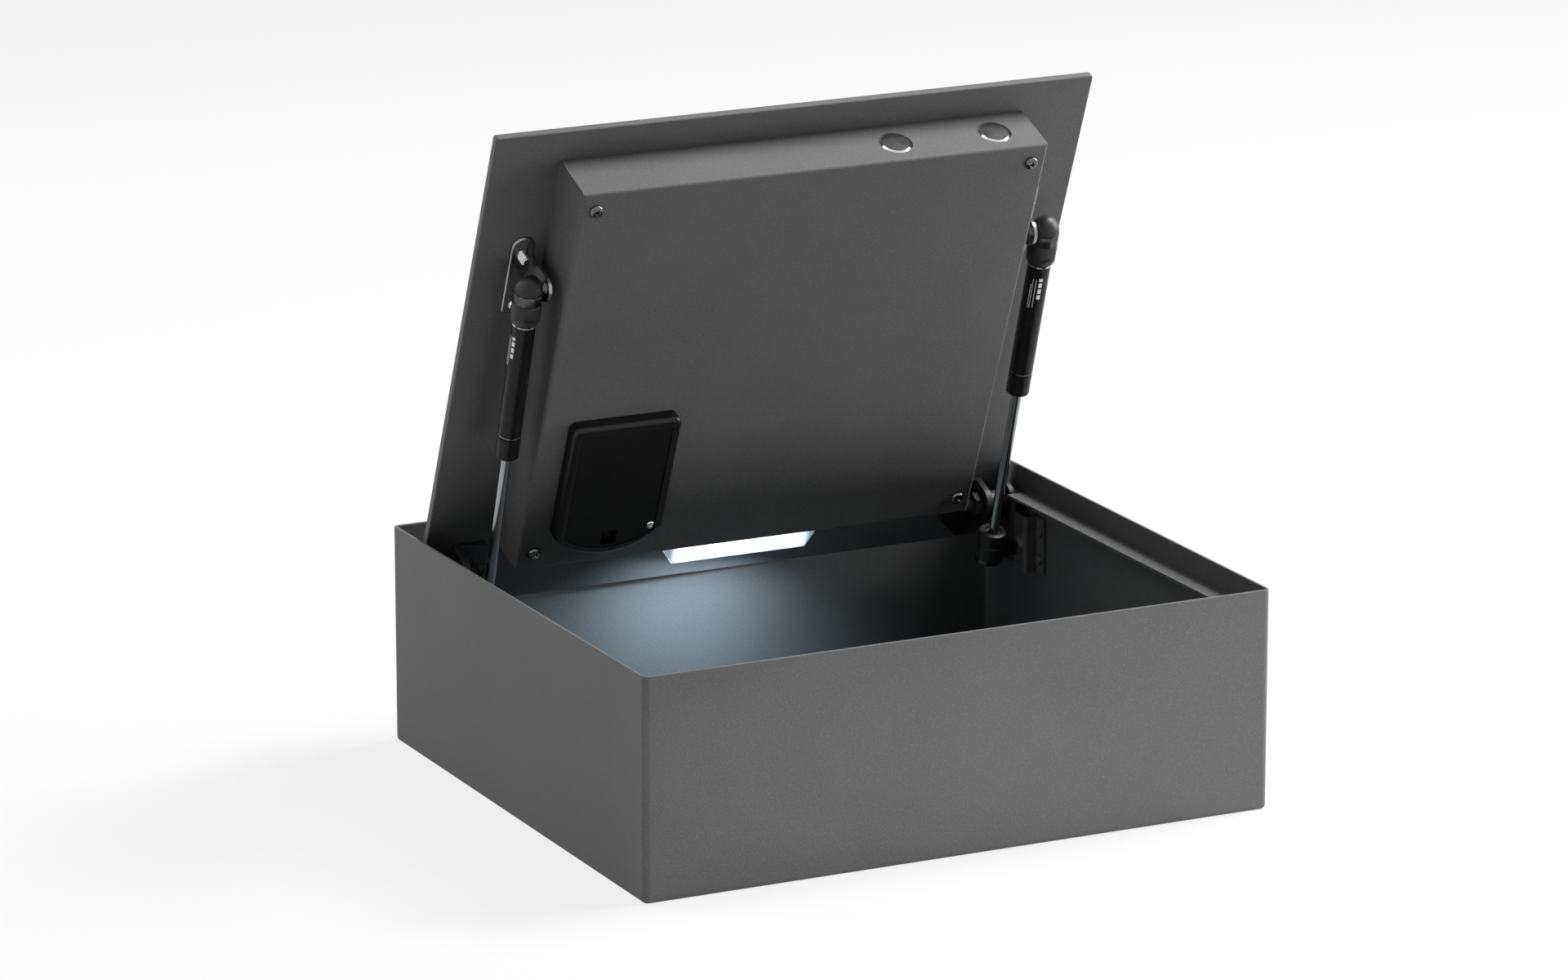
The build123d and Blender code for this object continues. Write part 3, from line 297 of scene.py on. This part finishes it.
def turned_steel():
    """The bolts: faces painted dark for the dark reflection they show, with fine turning marks, and a chamfer
    painted bright as a highlight.
    """
    s = Surface("bolt_turned_steel", Metallic=1.0)
    x = s.parts()[0]
    depth = s.measured(tuple(lid_corner), tuple(inward))
    across = abs(x - bolts_across) - bolt_half_spacing
    down = depth - bolt_inward
    radius = (across * across + down * down).rooted()
    face = (bolt_face_radius - radius).steps(-0.1, 0.1)
    groove = radius * 14
    ring = groove.sum_of("SINE", groove) * 0.5 + 0.5
    smear = s.noise(160, 3)
    # painted highlight: the chamfer round each face is coloured bright steel
    painted_chamfer_highlight = s.ramp(smear, (0.3, grey(0.62)), (0.7, grey(0.86)))
    # painted reflection: the face is coloured near black for the dark surroundings it mirrors; the turning
    # rings in it are real marks
    painted_dark_face_reflection = s.ramp(smear * 0.7 + ring * 0.3, (0.3, grey(0.06, 0.01)), (0.7, grey(0.1, 0.01)))
    s.set(Base_Color=s.mix(face, painted_chamfer_highlight, painted_dark_face_reflection))
    s.set(Roughness=0.12 + face * 0.14 + ring * face * 0.06 + smear * 0.06)
    return s.bump(ring * face + smear * 0.3, 0.00003, 0.4).material


def moulded(name, low, high, rough=0.4, grain=1000, depth=0.00008, shine=0.3):
    """Moulded plastic with a fine spark-eroded grain."""
    s = Surface(name, Specular_IOR_Level=shine)
    fine = s.noise(grain, 3, 0.6)
    flow = s.noise(35, 2)
    s.set(Base_Color=s.ramp(flow * 0.7 + fine * 0.3, (0.35, grey(low)), (0.65, grey(high))))
    s.set(Roughness=rough + fine * 0.16)
    return s.bump(fine, depth, 0.5).material


def bright_black_screw():
    s = Surface("screw_black_chrome", Metallic=1.0)
    smear = s.noise(500, 3)
    s.set(Base_Color=s.ramp(smear, (0.3, grey(0.09, 0.02)), (0.7, grey(0.17, 0.02))))
    s.set(Roughness=0.05 + smear * 0.08)
    return s.bump(smear, 0.00003, 0.4).material


def bright_steel(name="screw_bright_steel", low=0.55, high=0.8):
    s = Surface(name, Metallic=1.0)
    smear = s.noise(600, 3)
    s.set(Base_Color=s.ramp(smear, (0.3, grey(low)), (0.7, grey(high))))
    s.set(Roughness=0.14 + smear * 0.14)
    return s.bump(smear, 0.00003, 0.4).material


def lit_diffuser():
    """The light bar's lens: a row of lamps shows as a soft bright core between milky ends."""
    s = Surface("light_bar_lens", Roughness=0.25, Specular_IOR_Level=0.5, Emission_Strength=3.2)
    x = s.parts()[0]
    place = s.measured(tuple(lid_corner), tuple(along))
    phase = x * (2 * pi / led_pitch)
    ripple = phase.sum_of("COSINE", phase) * 0.5 + 0.5
    ends = (lens_half_length - abs(x)).steps(-1, 7)
    tip = (place - lens_along).steps(0.2, 4)
    core = ends * (0.35 + tip * 0.65) * (0.72 + ripple * 0.28)
    dim, milky, lit = (0.06, 0.075, 0.09), (0.3, 0.37, 0.45), (0.8, 0.93, 1.0)
    s.set(Base_Color=s.mix(s.noise(220, 2), (0.72, 0.76, 0.8), (0.8, 0.84, 0.88)))
    s.set(Emission_Color=s.ramp(core, (0.0, dim), (0.35, milky), (1.0, lit)))
    return s.bump(s.noise(500, 2), 0.00005, 0.3).material


def circuit_board():
    s = Surface("board_green", Specular_IOR_Level=0.5)
    values = {"Vector": s.place, "Scale": 260, "Randomness": 0.1}
    pads = s.node("ShaderNodeTexVoronoi", {"feature": "F1"}, values)
    track = s.node("ShaderNodeTexMagic", {"turbulence_depth": 2}, {"Vector": s.place, "Scale": 180}, 1)
    mask = track.steps(0.5, 0.56) * 0.4
    ground = s.mix(mask, (0.01, 0.07, 0.035), (0.03, 0.16, 0.07))
    s.set(Base_Color=s.mix(pads < 0.16, ground, (0.55, 0.55, 0.5)))
    s.set(Roughness=0.4 - mask * 0.2)
    return s.bump(mask, 0.00006, 0.5).material


def cell_wrap():
    """Plain shrink-wrapped cells, banded along their length."""
    s = Surface("cell_wrap", Specular_IOR_Level=0.5)
    x = s.parts()[0]
    end = (abs(x - battery_across) - 13).steps(0, 0.4)
    s.set(Base_Color=s.mix(end, (0.035, 0.037, 0.04), (0.42, 0.43, 0.45)))
    s.set(Roughness=0.26 + s.noise(120, 2) * 0.14)
    return s.bump(s.noise(300, 2), 0.00004, 0.4).material


def dark_window():
    s = Surface("display_window_smoked", Specular_IOR_Level=0.6, Coat_Roughness=0.05)
    x = s.parts()[0]
    place = s.measured(tuple(lid_corner), tuple(along))
    inside = (23 - abs(x)).steps(0, 0.4) * (5.5 - abs(place - display_along)).steps(0, 0.4)
    s.set(Base_Color=s.mix(inside, (0.008, 0.008, 0.009), (0.02, 0.026, 0.024)))
    s.set(Roughness=0.07 + s.noise(90, 3) * 0.07, Coat_Weight=0.6 - inside * 0.1)
    return s.material


def brass():
    s = Surface("pinion_brass", Metallic=1.0)
    cut = s.noise(350, 3)
    s.set(Base_Color=s.mix(cut, (0.5, 0.34, 0.14), (0.72, 0.54, 0.26)))
    s.set(Roughness=0.24 + cut * 0.16)
    return s.bump(cut, 0.00004, 0.4).material


def bumper_rubber():
    s = Surface("bumper_rubber", Specular_IOR_Level=0.3)
    fine = s.noise(700, 4)
    s.set(Base_Color=s.ramp(fine, (0.3, grey(0.016)), (0.7, grey(0.03))))
    s.set(Roughness=0.72 + fine * 0.14)
    return s.bump(fine, 0.0001, 0.5).material


def print_white(name="print_white"):
    s = Surface(name, Specular_IOR_Level=0.4)
    ink = s.noise(1500, 2)
    s.set(Base_Color=s.mix(ink, (0.62, 0.62, 0.62), (0.8, 0.8, 0.8)), Roughness=0.45 + ink * 0.15)
    return s.material


coat = powder_coat()
paint = black_paint()
satin = black_paint("satin_dark_grey", 0.09, 0.14, 0.25)
tube_black = strut_black()
rod_dark = rod_metal()
zinc = zinc_plate("zinc_plate", 0.18, 0.4, 0.2)
bright_zinc = zinc_plate("zinc_bright", 0.5, 0.85, 0.16)
bolt_steel = turned_steel()
socket_plastic = moulded("socket_nylon", 0.011, 0.022, 0.36, 700)
cover_plastic = moulded("cover_plastic", 0.0055, 0.009, 0.42, 1100, shine=0.14)
frame_plastic = moulded("frame_plastic", 0.004, 0.007, 0.27, 700, 0.00004, 0.3)
key_plastic = moulded("key_plastic", 0.17, 0.23, 0.42, 900)
screw_dark = bright_black_screw()
screw_bright = bright_steel()
clip_steel = zinc_plate("clip_steel", 0.045, 0.1, 0.16)
lens_lit = lit_diffuser()
board = circuit_board()
wrap = cell_wrap()
window = dark_window()
gear_brass = brass()
rubber = bumper_rubber()
ink = print_white()
motor_steel = zinc_plate("motor_steel", 0.36, 0.5, 0.3)


def dress(material, *names):
    for name in names:
        piece = nodes[name]
        if not piece.data.materials:
            piece.data.materials.append(material)
        for slot in piece.material_slots:
            slot.material = material


keys = [f"key_{row}_{column}" for row in range(1, 5) for column in range(1, 4)]
dress(coat, "body_shell", "left_ledge", "right_ledge", "front_ledge", "lid_plate", "lock_housing")
dress(satin, "left_strut_bracket", "right_strut_bracket", "strut_bracket_screws")
dress(paint, "left_hinge_lug", "right_hinge_lug", "left_hinge_bracket", "right_hinge_bracket", "hinge_bolts")
dress(tube_black, "left_strut_tube", "right_strut_tube")
dress(rod_dark, "left_strut_rod", "right_strut_rod")
dress(zinc, "left_lid_bracket", "right_lid_bracket", "housing_posts", "bolt_guide", "bolt_carriage")
dress(zinc, "upper_ball_studs")
dress(motor_steel, "lower_ball_studs")
dress(bright_zinc, "lid_bracket_studs")
dress(bolt_steel, "locking_bolts")
dress(socket_plastic, "left_upper_socket", "right_upper_socket", "left_lower_socket", "right_lower_socket")
dress(frame_plastic, "battery_frame")
dress(cover_plastic, "battery_door", "battery_tray", "reset_switch", "reset_button")
dress(cover_plastic, "keypad_bezel")
dress(key_plastic, *keys)
dress(screw_dark, "housing_screws")
dress(screw_bright, "door_screw")
dress(lens_lit, "led_lens")
dress(board, "led_board", "keypad_board")
dress(wrap, "battery_cells")
dress(window, "display_window")
dress(gear_brass, "drive_pinion")
dress(motor_steel, "drive_motor")
dress(rubber, "rest_bumpers")


# Modelling by hand
def start(add, name, **settings):
    """A new primitive, the only thing selected."""
    bpy.ops.object.select_all(action="DESELECT")
    add(**settings)
    piece = bpy.context.object
    piece.name = name
    piece.data.name = name
    return piece


def choose(*pieces):
    bpy.ops.object.select_all(action="DESELECT")
    for piece in pieces:
        piece.select_set(True)
    bpy.context.view_layer.objects.active = pieces[0]


def pick_faces(piece, rule):
    """Leaves the piece in edit mode with the faces selected that the rule says yes to."""
    choose(piece)
    bpy.ops.object.mode_set(mode="EDIT")
    bpy.ops.mesh.select_mode(type="FACE")
    bpy.ops.mesh.select_all(action="DESELECT")
    bpy.ops.object.mode_set(mode="OBJECT")
    for face in piece.data.polygons:
        face.select = rule(face.center, face.normal)
    bpy.ops.object.mode_set(mode="EDIT")


def leave_edit():
    bpy.ops.object.mode_set(mode="OBJECT")


def turned(name, steps, sides=40):
    """A round piece drawn up from a disc. Each step is a radius and a height."""
    radius, height = steps[0]
    piece = start(bpy.ops.mesh.primitive_circle_add, name, vertices=sides, radius=radius, fill_type="NGON")
    bpy.ops.object.mode_set(mode="EDIT")
    bpy.ops.mesh.select_all(action="SELECT")
    bpy.ops.transform.translate(value=(0, 0, height))
    for next_radius, next_height in steps[1:]:
        lift = {"value": (0, 0, next_height - height)}
        bpy.ops.mesh.extrude_region_move(TRANSFORM_OT_translate=lift)
        share = next_radius / radius
        if share != 1:
            bpy.ops.transform.resize(value=(share, share, 1), center_override=(0, 0, next_height))
        radius, height = next_radius, next_height
    bpy.ops.mesh.select_all(action="SELECT")
    bpy.ops.mesh.normals_make_consistent(inside=False)
    leave_edit()
    return piece


def block(name, size, middle):
    """A cuboid of the given size about its middle."""
    piece = start(bpy.ops.mesh.primitive_cube_add, name, size=1)
    piece.scale = size
    piece.location = middle
    bpy.ops.object.transform_apply(location=True, rotation=True, scale=True)
    return piece


def modify(piece, kind, **settings):
    choose(piece)
    modifier = piece.modifiers.new(kind.lower(), kind)
    for name, value in settings.items():
        setattr(modifier, name, value)
    bpy.ops.object.modifier_apply(modifier=modifier.name)
    return piece


def carve(piece, cutter, operation="DIFFERENCE"):
    modify(piece, "BOOLEAN", object=cutter, operation=operation, solver="EXACT")
    bpy.data.objects.remove(cutter)
    return piece


def joined(name, pieces):
    choose(*pieces)
    if len(pieces) > 1:
        bpy.ops.object.join()
    piece = bpy.context.object
    piece.name = name
    return piece


def settle(piece, place):
    """Sets the piece in its place and leaves its object at the origin."""
    piece.matrix_world = place @ piece.matrix_world
    choose(piece)
    bpy.ops.object.transform_apply(location=True, rotation=True, scale=True)
    return piece


def moved(x, y, z, turn=0, about="Z"):
    return Matrix.Translation((x, y, z)) @ Matrix.Rotation(turn, 4, about)


def finish(piece, body, material, slot, *replaced, smooth=35):
    if material:
        piece.data.materials.clear()
        piece.data.materials.append(material)
    choose(piece)
    bpy.ops.object.shade_smooth_by_angle(angle=radians(smooth))
    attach(piece, body)
    if replaced:
        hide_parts(*replaced)
    return piece


def cross_cutter(length, width, depth, top):
    """A cross with tapering arms, for a screw's driver recess."""
    arms = []
    for turn in (0, pi / 2):
        arm = block("arm", (length, width, depth + 1), (0, 0, top - depth / 2 + 0.5))
        pick_faces(arm, lambda centre, normal: normal.z < -0.9)
        bpy.ops.transform.resize(value=(0.35, 0.6, 1), center_override=(0, 0, top - depth))
        leave_edit()
        arm.matrix_world = Matrix.Rotation(turn, 4, "Z")
        bpy.ops.object.transform_apply(location=True, rotation=True, scale=True)
        arms.append(arm)
    return carve(arms[0], arms[1], "UNION")


def pan_screw(name, radius, height, shank_radius, shank, turn=0.4):
    """A pan-head screw with a cross recess, its head standing on z = 0."""
    dome = [(1, 0), (1, 0.2), (0.97, 0.42), (0.88, 0.66), (0.74, 0.84), (0.55, 0.95), (0.3, 0.995)]
    steps = [(shank_radius * 0.7, -shank), (shank_radius, -shank + shank_radius * 0.4), (shank_radius, 0)]
    steps += [(radius * out, height * up) for out, up in dome]
    screw = turned(name, steps, 36)
    cutter = cross_cutter(radius * 1.15, radius * 0.25, height * 0.72, height)
    carve(screw, cutter)
    modify(screw, "BEVEL", width=radius * 0.03, segments=2, limit_method="ANGLE", angle_limit=radians(50))
    screw.matrix_world = Matrix.Rotation(turn, 4, "Z")
    bpy.ops.object.transform_apply(location=False, rotation=True, scale=False)
    return screw


def threaded(name, radius, start_height, length, pitch=1.0, depth=0.38, sides=28):
    """A threaded stud end: ridges at the pitch, with a chamfered tip."""
    steps = [(radius - depth, start_height)]
    for count in range(int(length / pitch)):
        foot = start_height + count * pitch
        steps += [(radius, foot + pitch * 0.42), (radius, foot + pitch * 0.58)]
        steps.append((radius - depth, foot + pitch))
    tip = start_height + length
    steps += [(radius - depth, tip), (radius - depth - 0.5, tip + 0.5)]
    return turned(name, steps, sides)


def hexagon(name, across_flats, low, high, bore=0):
    """A hexagon nut or head with its corners turned off at both faces."""
    flat = across_flats / 2
    corner = flat / cos(pi / 6)
    body = turned(name, [(corner, low), (corner, high)], 6)
    edge = (corner - flat) * 0.55
    rounds = [(flat * 0.98, low), (corner, low + edge), (corner, high - edge), (flat * 0.98, high)]
    carve(body, turned("round", rounds, 48), "INTERSECT")
    if bore:
        carve(body, turned("bore", [(bore, low - 1), (bore, high + 1)], 32))
    return body


# Screws of the lock housing
screw_across = 140.5
screw_from_end = 12
screws = []
for x in (-screw_across, screw_across):
    for place in (housing_back + screw_from_end, housing_front - screw_from_end):
        screw = pan_screw("screw", 4.2, 2.6, 1.5, 14, turn=0.5 + 0.9 * len(screws))
        screws.append(settle(screw, lid_axes @ moved(x, place, housing_top)))
finish(joined("housing_screw_set", screws), "lid", screw_dark, "screw_black", "housing_screws")

# Screw of the battery door
door_screw_place = lid_axes @ moved(battery_across + 26, 77.5, battery_door_top)
small_screw = settle(pan_screw("door_screw_head", 2.4, 1.4, 1.2, 1.8), door_screw_place)
finish(small_screw, "lid", screw_bright, "bolt_steel", "door_screw")

# Screws of the strut brackets, at two places below the rim
bracket_from_back = 75.5
wall_screws = []
for side in ("left", "right"):
    for drop in (34.7, 51.7):
        out = outward[side].x * wall_inside
        origin = Vector((out, body_half_depth - bracket_from_back, body_height - drop)) * MM
        place = axes(origin, UP.cross(-outward[side]), UP, -outward[side])
        wall_screws.append(settle(pan_screw("screw", 3.4, 2.4, 2, 2, turn=len(wall_screws)), place))
finish(joined("bracket_screw_set", wall_screws), "safe_body", satin, "black_hardware", "strut_bracket_screws")

# Hinge bolts: a hexagon head in the channel, the plain shank, the nut and the thread beyond it
bolt_sets = []
for side in ("left", "right"):
    origin = Vector((outward[side].x * body_half_width * MM, hinge["pos_m"][1], hinge["pos_m"][2]))
    place = axes(origin, UP.cross(-outward[side]), UP, -outward[side])
    head = hexagon("head", 13, 4.5, 9)
    shank = turned("shank", [(3.9, 8.5), (4, 9), (4, 31)], 32)
    nut = hexagon("nut", 13, 28.8, 33.8, 4.05)
    thread = threaded("thread", 4, 31, 8.8)
    for piece in (head, shank, nut, thread):
        bolt_sets.append(settle(piece, place))
finish(joined("hinge_bolt_set", bolt_sets), "safe_body", paint, "black_hardware", "hinge_bolts")

# Studs and rivets of the lid brackets
stud_along = 253
rivet_along = 219
stud_from_side = 35.5
fixings = []
for sign in (-1, 1):
    stud_x = sign * (body_half_width - stud_from_side)
    stud = threaded("stud", 3, 0, 8.4)
    rivet = turned("rivet", [(3, 0), (3, 2), (3.6, 2), (3.5, 3), (2.9, 3.7), (1.6, 4), (0.6, 4)], 32)
    fixings.append(settle(stud, lid_axes @ moved(stud_x, stud_along, 0)))
    fixings.append(settle(rivet, lid_axes @ moved(stud_x, rivet_along, 0)))
finish(joined("lid_bracket_fixings", fixings), "lid", bright_zinc, "zinc", "lid_bracket_studs")


# Ball sockets of the struts
socket_flat = 7.6


def socket_shape(name, steps, ball_at, flat_from, flat_to, play=0):
    """A turned socket with two flats round its waist and a hole for the ball.

    The ball drifts by the play to either side of the hole's middle, so that the hole is a slot.
    """
    body = turned(name, steps, 48)
    for sign in (-1, 1):
        middle = (0, sign * (socket_flat + 2), (flat_from + flat_to) / 2)
        carve(body, block("slab", (40, 4, flat_to - flat_from), middle))
    radius, bottom = (4.3, -4.1) if play else (4.7, 0)
    holes = []
    for shift in (-play, play) if play else (0,):
        hole = turned("hole", [(radius, bottom), (radius, 20)], 32)
        hole.matrix_world = moved(0, shift, ball_at, pi / 2, "Y")
        choose(hole)
        bpy.ops.object.transform_apply(location=True, rotation=True, scale=True)
        holes.append(hole)
    if play:
        holes.append(block("middle", (20 - bottom, 2 * play, 2 * radius), ((20 + bottom) / 2, 0, ball_at)))
    for hole in holes:
        carve(body, hole)
    modify(body, "BEVEL", width=0.35, segments=2, limit_method="ANGLE", angle_limit=radians(40))
    return body


def clip_band(name, low, high, radius, opening=8.4):
    """A spring clip: a faceted steel band, open on the ball's side."""
    band = turned(name, [(radius, low), (radius, high)], 10)
    carve(band, turned("core", [(radius - 0.6, low - 1), (radius - 0.6, high + 1)], 40))
    carve(band, block("gap", (20, opening, high - low + 2), (12, 0, (low + high) / 2)))
    modify(band, "BEVEL", width=0.15, segments=2, limit_method="ANGLE", angle_limit=radians(30))
    return band


def strut_axes(origin, side, opening):
    """The strut's own axes: z runs down to the foot, x points to where the ball goes in."""
    x = -outward[side] if opening == "in" else outward[side]
    return axes(origin, x, strut_line.cross(x), strut_line)


def ellipse_arc(radius, height, angles):
    """Steps up a rounded end: a radius and a height for each angle in degrees."""
    return [(radius * cos(radians(angle)), height * sin(radians(angle))) for angle in angles]


# The head: its dome, the groove that holds the clip, and the collar over the tube
head_steps = ellipse_arc(8.5, -9.3, (84, 72, 60, 48, 36, 24, 12))
head_steps += [(8.5, 0), (8.5, 0.8), (8.1, 1.0), (8.1, 7.6), (8.55, 7.8)]
head_steps += [(8.8, 8.6), (8.8, 17.5), (8.6, 19.4), (7.9, 20.7), (6.3, 21.4), (6.3, 22)]

# The foot: the collar over the rod, a groove, the waist round the ball, and its dome
foot_steps = [(4.6, -12.2), (5.4, -13.4), (7.6, -13.5), (8.5, -13), (8.8, -12.2), (8.8, -6)]
foot_steps += [(8.3, -5.6), (8.3, -4.4), (8.9, -4), (8.9, 4), (8.4, 4.3), (8.4, 7)]
foot_steps += ellipse_arc(8.4 * 0.99, 11.8, (48, 60, 72, 84))
for side in ("left", "right"):
    head_axes = strut_axes(upper_ball[side], side, "in")
    head = settle(socket_shape("head", head_steps, 0, 8.5, 17), head_axes)
    finish(head, f"{side}_tube", socket_plastic, "black_plastic", f"{side}_upper_socket")
    head.name = f"{side}_upper_ball_socket"
    clip = settle(clip_band("clip", 1.2, 7.4, 9.0), head_axes)
    finish(clip, f"{side}_tube", clip_steel, "black_plastic")
    clip.name = f"{side}_upper_clip"

    foot_axes = strut_axes(lower_ball[side], side, "out")
    foot = socket_shape("foot", foot_steps, 0, -11, -7.4, play=3.6)
    mouth = turned("mouth", [(3.4, -20), (3.4, -8.5)], 32)
    carve(foot, mouth)
    foot = settle(foot, foot_axes)
    finish(foot, f"{side}_rod", socket_plastic, "black_plastic", f"{side}_lower_socket")
    foot.name = f"{side}_lower_ball_socket"
    clip = settle(clip_band("clip", 4.6, 7.4, 9.0, 17), foot_axes)
    finish(clip, f"{side}_rod", clip_steel, "black_plastic")
    clip.name = f"{side}_lower_clip"


# Plain printed bars on the strut tubes, with no words
ink_radius = 7.03


def print_bar(name, angle, width, low, high):
    """A thin patch of ink on the tube, at an angle round it."""
    band = start(bpy.ops.mesh.primitive_cylinder_add, name, vertices=120, radius=ink_radius, depth=high - low,
                 end_fill_type="NOTHING", location=(0, 0, (low + high) / 2))
    bpy.ops.object.transform_apply(location=True, rotation=True, scale=True)

    def outside(centre, normal):
        turn = (atan2(centre.y, centre.x) - angle + pi) % (2 * pi) - pi
        return abs(turn) * ink_radius > width / 2

    pick_faces(band, outside)
    bpy.ops.mesh.delete(type="FACE")
    leave_edit()
    return modify(band, "SOLIDIFY", thickness=0.04, offset=0)


for side, angle in (("left", 2.8), ("right", 1.75)):
    tube_axes = axes(upper_ball[side], RIGHT, strut_line.cross(RIGHT), strut_line)
    marks = [print_bar("bar", angle + 0.36, 0.4, 30, 49)]
    for low, high in ((29.5, 31.5), (32.6, 35.6), (36.7, 39.7), (40.8, 43.6)):
        marks.append(print_bar("dash", angle, 2.2, low, high))
    marks += [print_bar("line", angle + turn, 0.3, low, 50) for turn, low in ((0.62, 30), (0.8, 34))]
    mark = settle(joined("mark", marks), tube_axes)
    finish(mark, f"{side}_tube", ink, "black_hardware")
    mark.name = f"{side}_strut_bars"


# Numerals printed on the keys
signs = ("1", "2", "3", "4", "5", "6", "7", "8", "9", "*", "0", "#")
for count, (key, sign) in enumerate(zip(keys, signs)):
    row, column = divmod(count, 3)
    bpy.ops.object.select_all(action="DESELECT")
    bpy.ops.object.text_add(align="WORLD", location=(0, 0, 0))
    text = bpy.context.object
    text.data.body = sign
    text.data.size = 7.5
    text.data.extrude = 0.02
    text.data.align_x = "CENTER"
    text.data.align_y = "CENTER"
    bpy.ops.object.convert(target="MESH")
    numeral = bpy.context.object
    numeral.name = f"{key}_numeral"
    place = key_block_along + (row - 1.5) * key_pitch_y
    settle(numeral, outer_axes @ moved((column - 1) * key_pitch_x, -place, key_top + 0.02))
    finish(numeral, key, ink, "key_plastic")


# Floor and world: white where the camera or a reflection looks at them, so that they add no light
def seen_directly(tree):
    """1 for camera and glossy rays, 0 for the rest."""
    paths = tree.nodes.new("ShaderNodeLightPath")
    seen = tree.nodes.new("ShaderNodeMath")
    seen.operation = "MAXIMUM"
    tree.links.new(paths.outputs["Is Camera Ray"], seen.inputs[0])
    tree.links.new(paths.outputs["Is Glossy Ray"], seen.inputs[1])
    return seen


floor = start(bpy.ops.mesh.primitive_plane_add, "floor", size=30)
ground = bpy.data.materials.new("floor_white")
ground.use_nodes = True
tree = ground.node_tree
tree.nodes.clear()
seen = seen_directly(tree)
share = tree.nodes.new("ShaderNodeMath")
share.operation = "MULTIPLY"
tree.links.new(seen.outputs[0], share.inputs[0])
share.inputs[1].default_value = 0.8  # the rest is lit plainly, and keeps the shadow
plain = tree.nodes.new("ShaderNodeBsdfDiffuse")
plain.inputs["Color"].default_value = (0.6, 0.6, 0.6, 1)
glow = tree.nodes.new("ShaderNodeEmission")
both = tree.nodes.new("ShaderNodeMixShader")
output = tree.nodes.new("ShaderNodeOutputMaterial")
tree.links.new(share.outputs[0], both.inputs[0])
tree.links.new(plain.outputs[0], both.inputs[1])
tree.links.new(glow.outputs[0], both.inputs[2])
tree.links.new(both.outputs[0], output.inputs["Surface"])
floor.data.materials.append(ground)

scene = bpy.context.scene
world = bpy.data.worlds.new("studio")
scene.world = world
world.use_nodes = True
tree = world.node_tree
tree.nodes.clear()
seen = seen_directly(tree)
ambient = tree.nodes.new("ShaderNodeBackground")
ambient.inputs["Strength"].default_value = 0.01
backdrop = tree.nodes.new("ShaderNodeBackground")
backdrop.inputs["Color"].default_value = (1, 1, 1, 1)
both = tree.nodes.new("ShaderNodeMixShader")
output = tree.nodes.new("ShaderNodeOutputWorld")
tree.links.new(seen.outputs[0], both.inputs[0])
tree.links.new(ambient.outputs[0], both.inputs[1])
tree.links.new(backdrop.outputs[0], both.inputs[2])
tree.links.new(both.outputs[0], output.inputs["Surface"])


# Lamps
def area_light(name, place, look, width, height, power):
    light = bpy.data.lights.new(name, "AREA")
    light.shape = "RECTANGLE"
    light.size = width
    light.size_y = height
    light.energy = power
    lamp = bpy.data.objects.new(name, light)
    scene.collection.objects.link(lamp)
    lamp.location = place
    lamp.rotation_euler = Vector(look).to_track_quat("-Z", "Y").to_euler()
    return lamp


# Large square lamps round the safe: the direction each stands in, and its power in watts
lamp_aim = Vector((0, 0, 0.15))
lamp_distance = 2.6
lamp_size = 1.2
soft_lamps = (
    ("key_top_right", (0.8, 0, 1), 114),
    ("key_right", (1, -0.15, 0.35), 66),
    ("fill_back_left", (-0.7, 0.8, 0.55), 38),
    ("fill_top_left", (-0.8, 0, 1), 8),
    ("fill_left", (-1, -0.1, 0.35), 6),
)
for name, direction, power in soft_lamps:
    place = lamp_aim + Vector(direction).normalized() * lamp_distance
    area_light(name, place, lamp_aim - place, lamp_size, lamp_size, power)

# Two low strips light the front wall from below its rim
low_front = area_light("low_front", (0.2, -0.62, 0.065), (0, 1, 0), 0.9, 0.1, 0.34)
low_front.data.spread = radians(60)
low_right = area_light("low_front_right", (0.62, -0.5, 0.065), (-0.75, 0.65, 0), 0.6, 0.1, 1.0)
for strip in (low_front, low_right):
    strip.visible_glossy = False

# The light that the bar throws into the safe, turned a little away from the lid and to the left
beam_tilt = radians(10)
beam_lean = 0.12
beam_place = lid_corner + (along * 31 + inward * 28.5 - RIGHT * 10) * MM
throw = -along * cos(beam_tilt) + inward * sin(beam_tilt) - RIGHT * beam_lean
throw.normalize()
across = (RIGHT - throw * RIGHT.dot(throw)).normalized()
glow_lamp = area_light("light_bar_beam", beam_place, throw, 0.085, 0.006, 0.27)
glow_lamp.data.color = (0.62, 0.83, 1.0)
glow_lamp.data.spread = radians(135)
beam_turn = Matrix((across, -throw.cross(across), -throw)).transposed().to_4x4()
glow_lamp.matrix_world = Matrix.Translation(beam_place) @ beam_turn
glow_lamp.parent = frame["bodies"]["lid"]

# The camera, as fitted to the photograph in its pixels
photo_width = 1920
focal_length = 9268.2
camera_place = Vector((-1.9054, -3.8114, 1.3409))
camera_aim = Vector((0.42649, 0.86513, -0.26391))
camera_data = bpy.data.cameras.new("photo_camera")
camera_data.sensor_width = 36
camera_data.lens = focal_length / photo_width * camera_data.sensor_width
camera_data.shift_x = -0.75 / photo_width
camera_data.shift_y = -3.05 / photo_width
camera_data.clip_end = 60
camera = bpy.data.objects.new("photo_camera", camera_data)
scene.collection.objects.link(camera)
camera.location = camera_place
camera.rotation_euler = camera_aim.to_track_quat("-Z", "Y").to_euler()
scene.camera = camera
scene.view_settings.view_transform = "Standard"
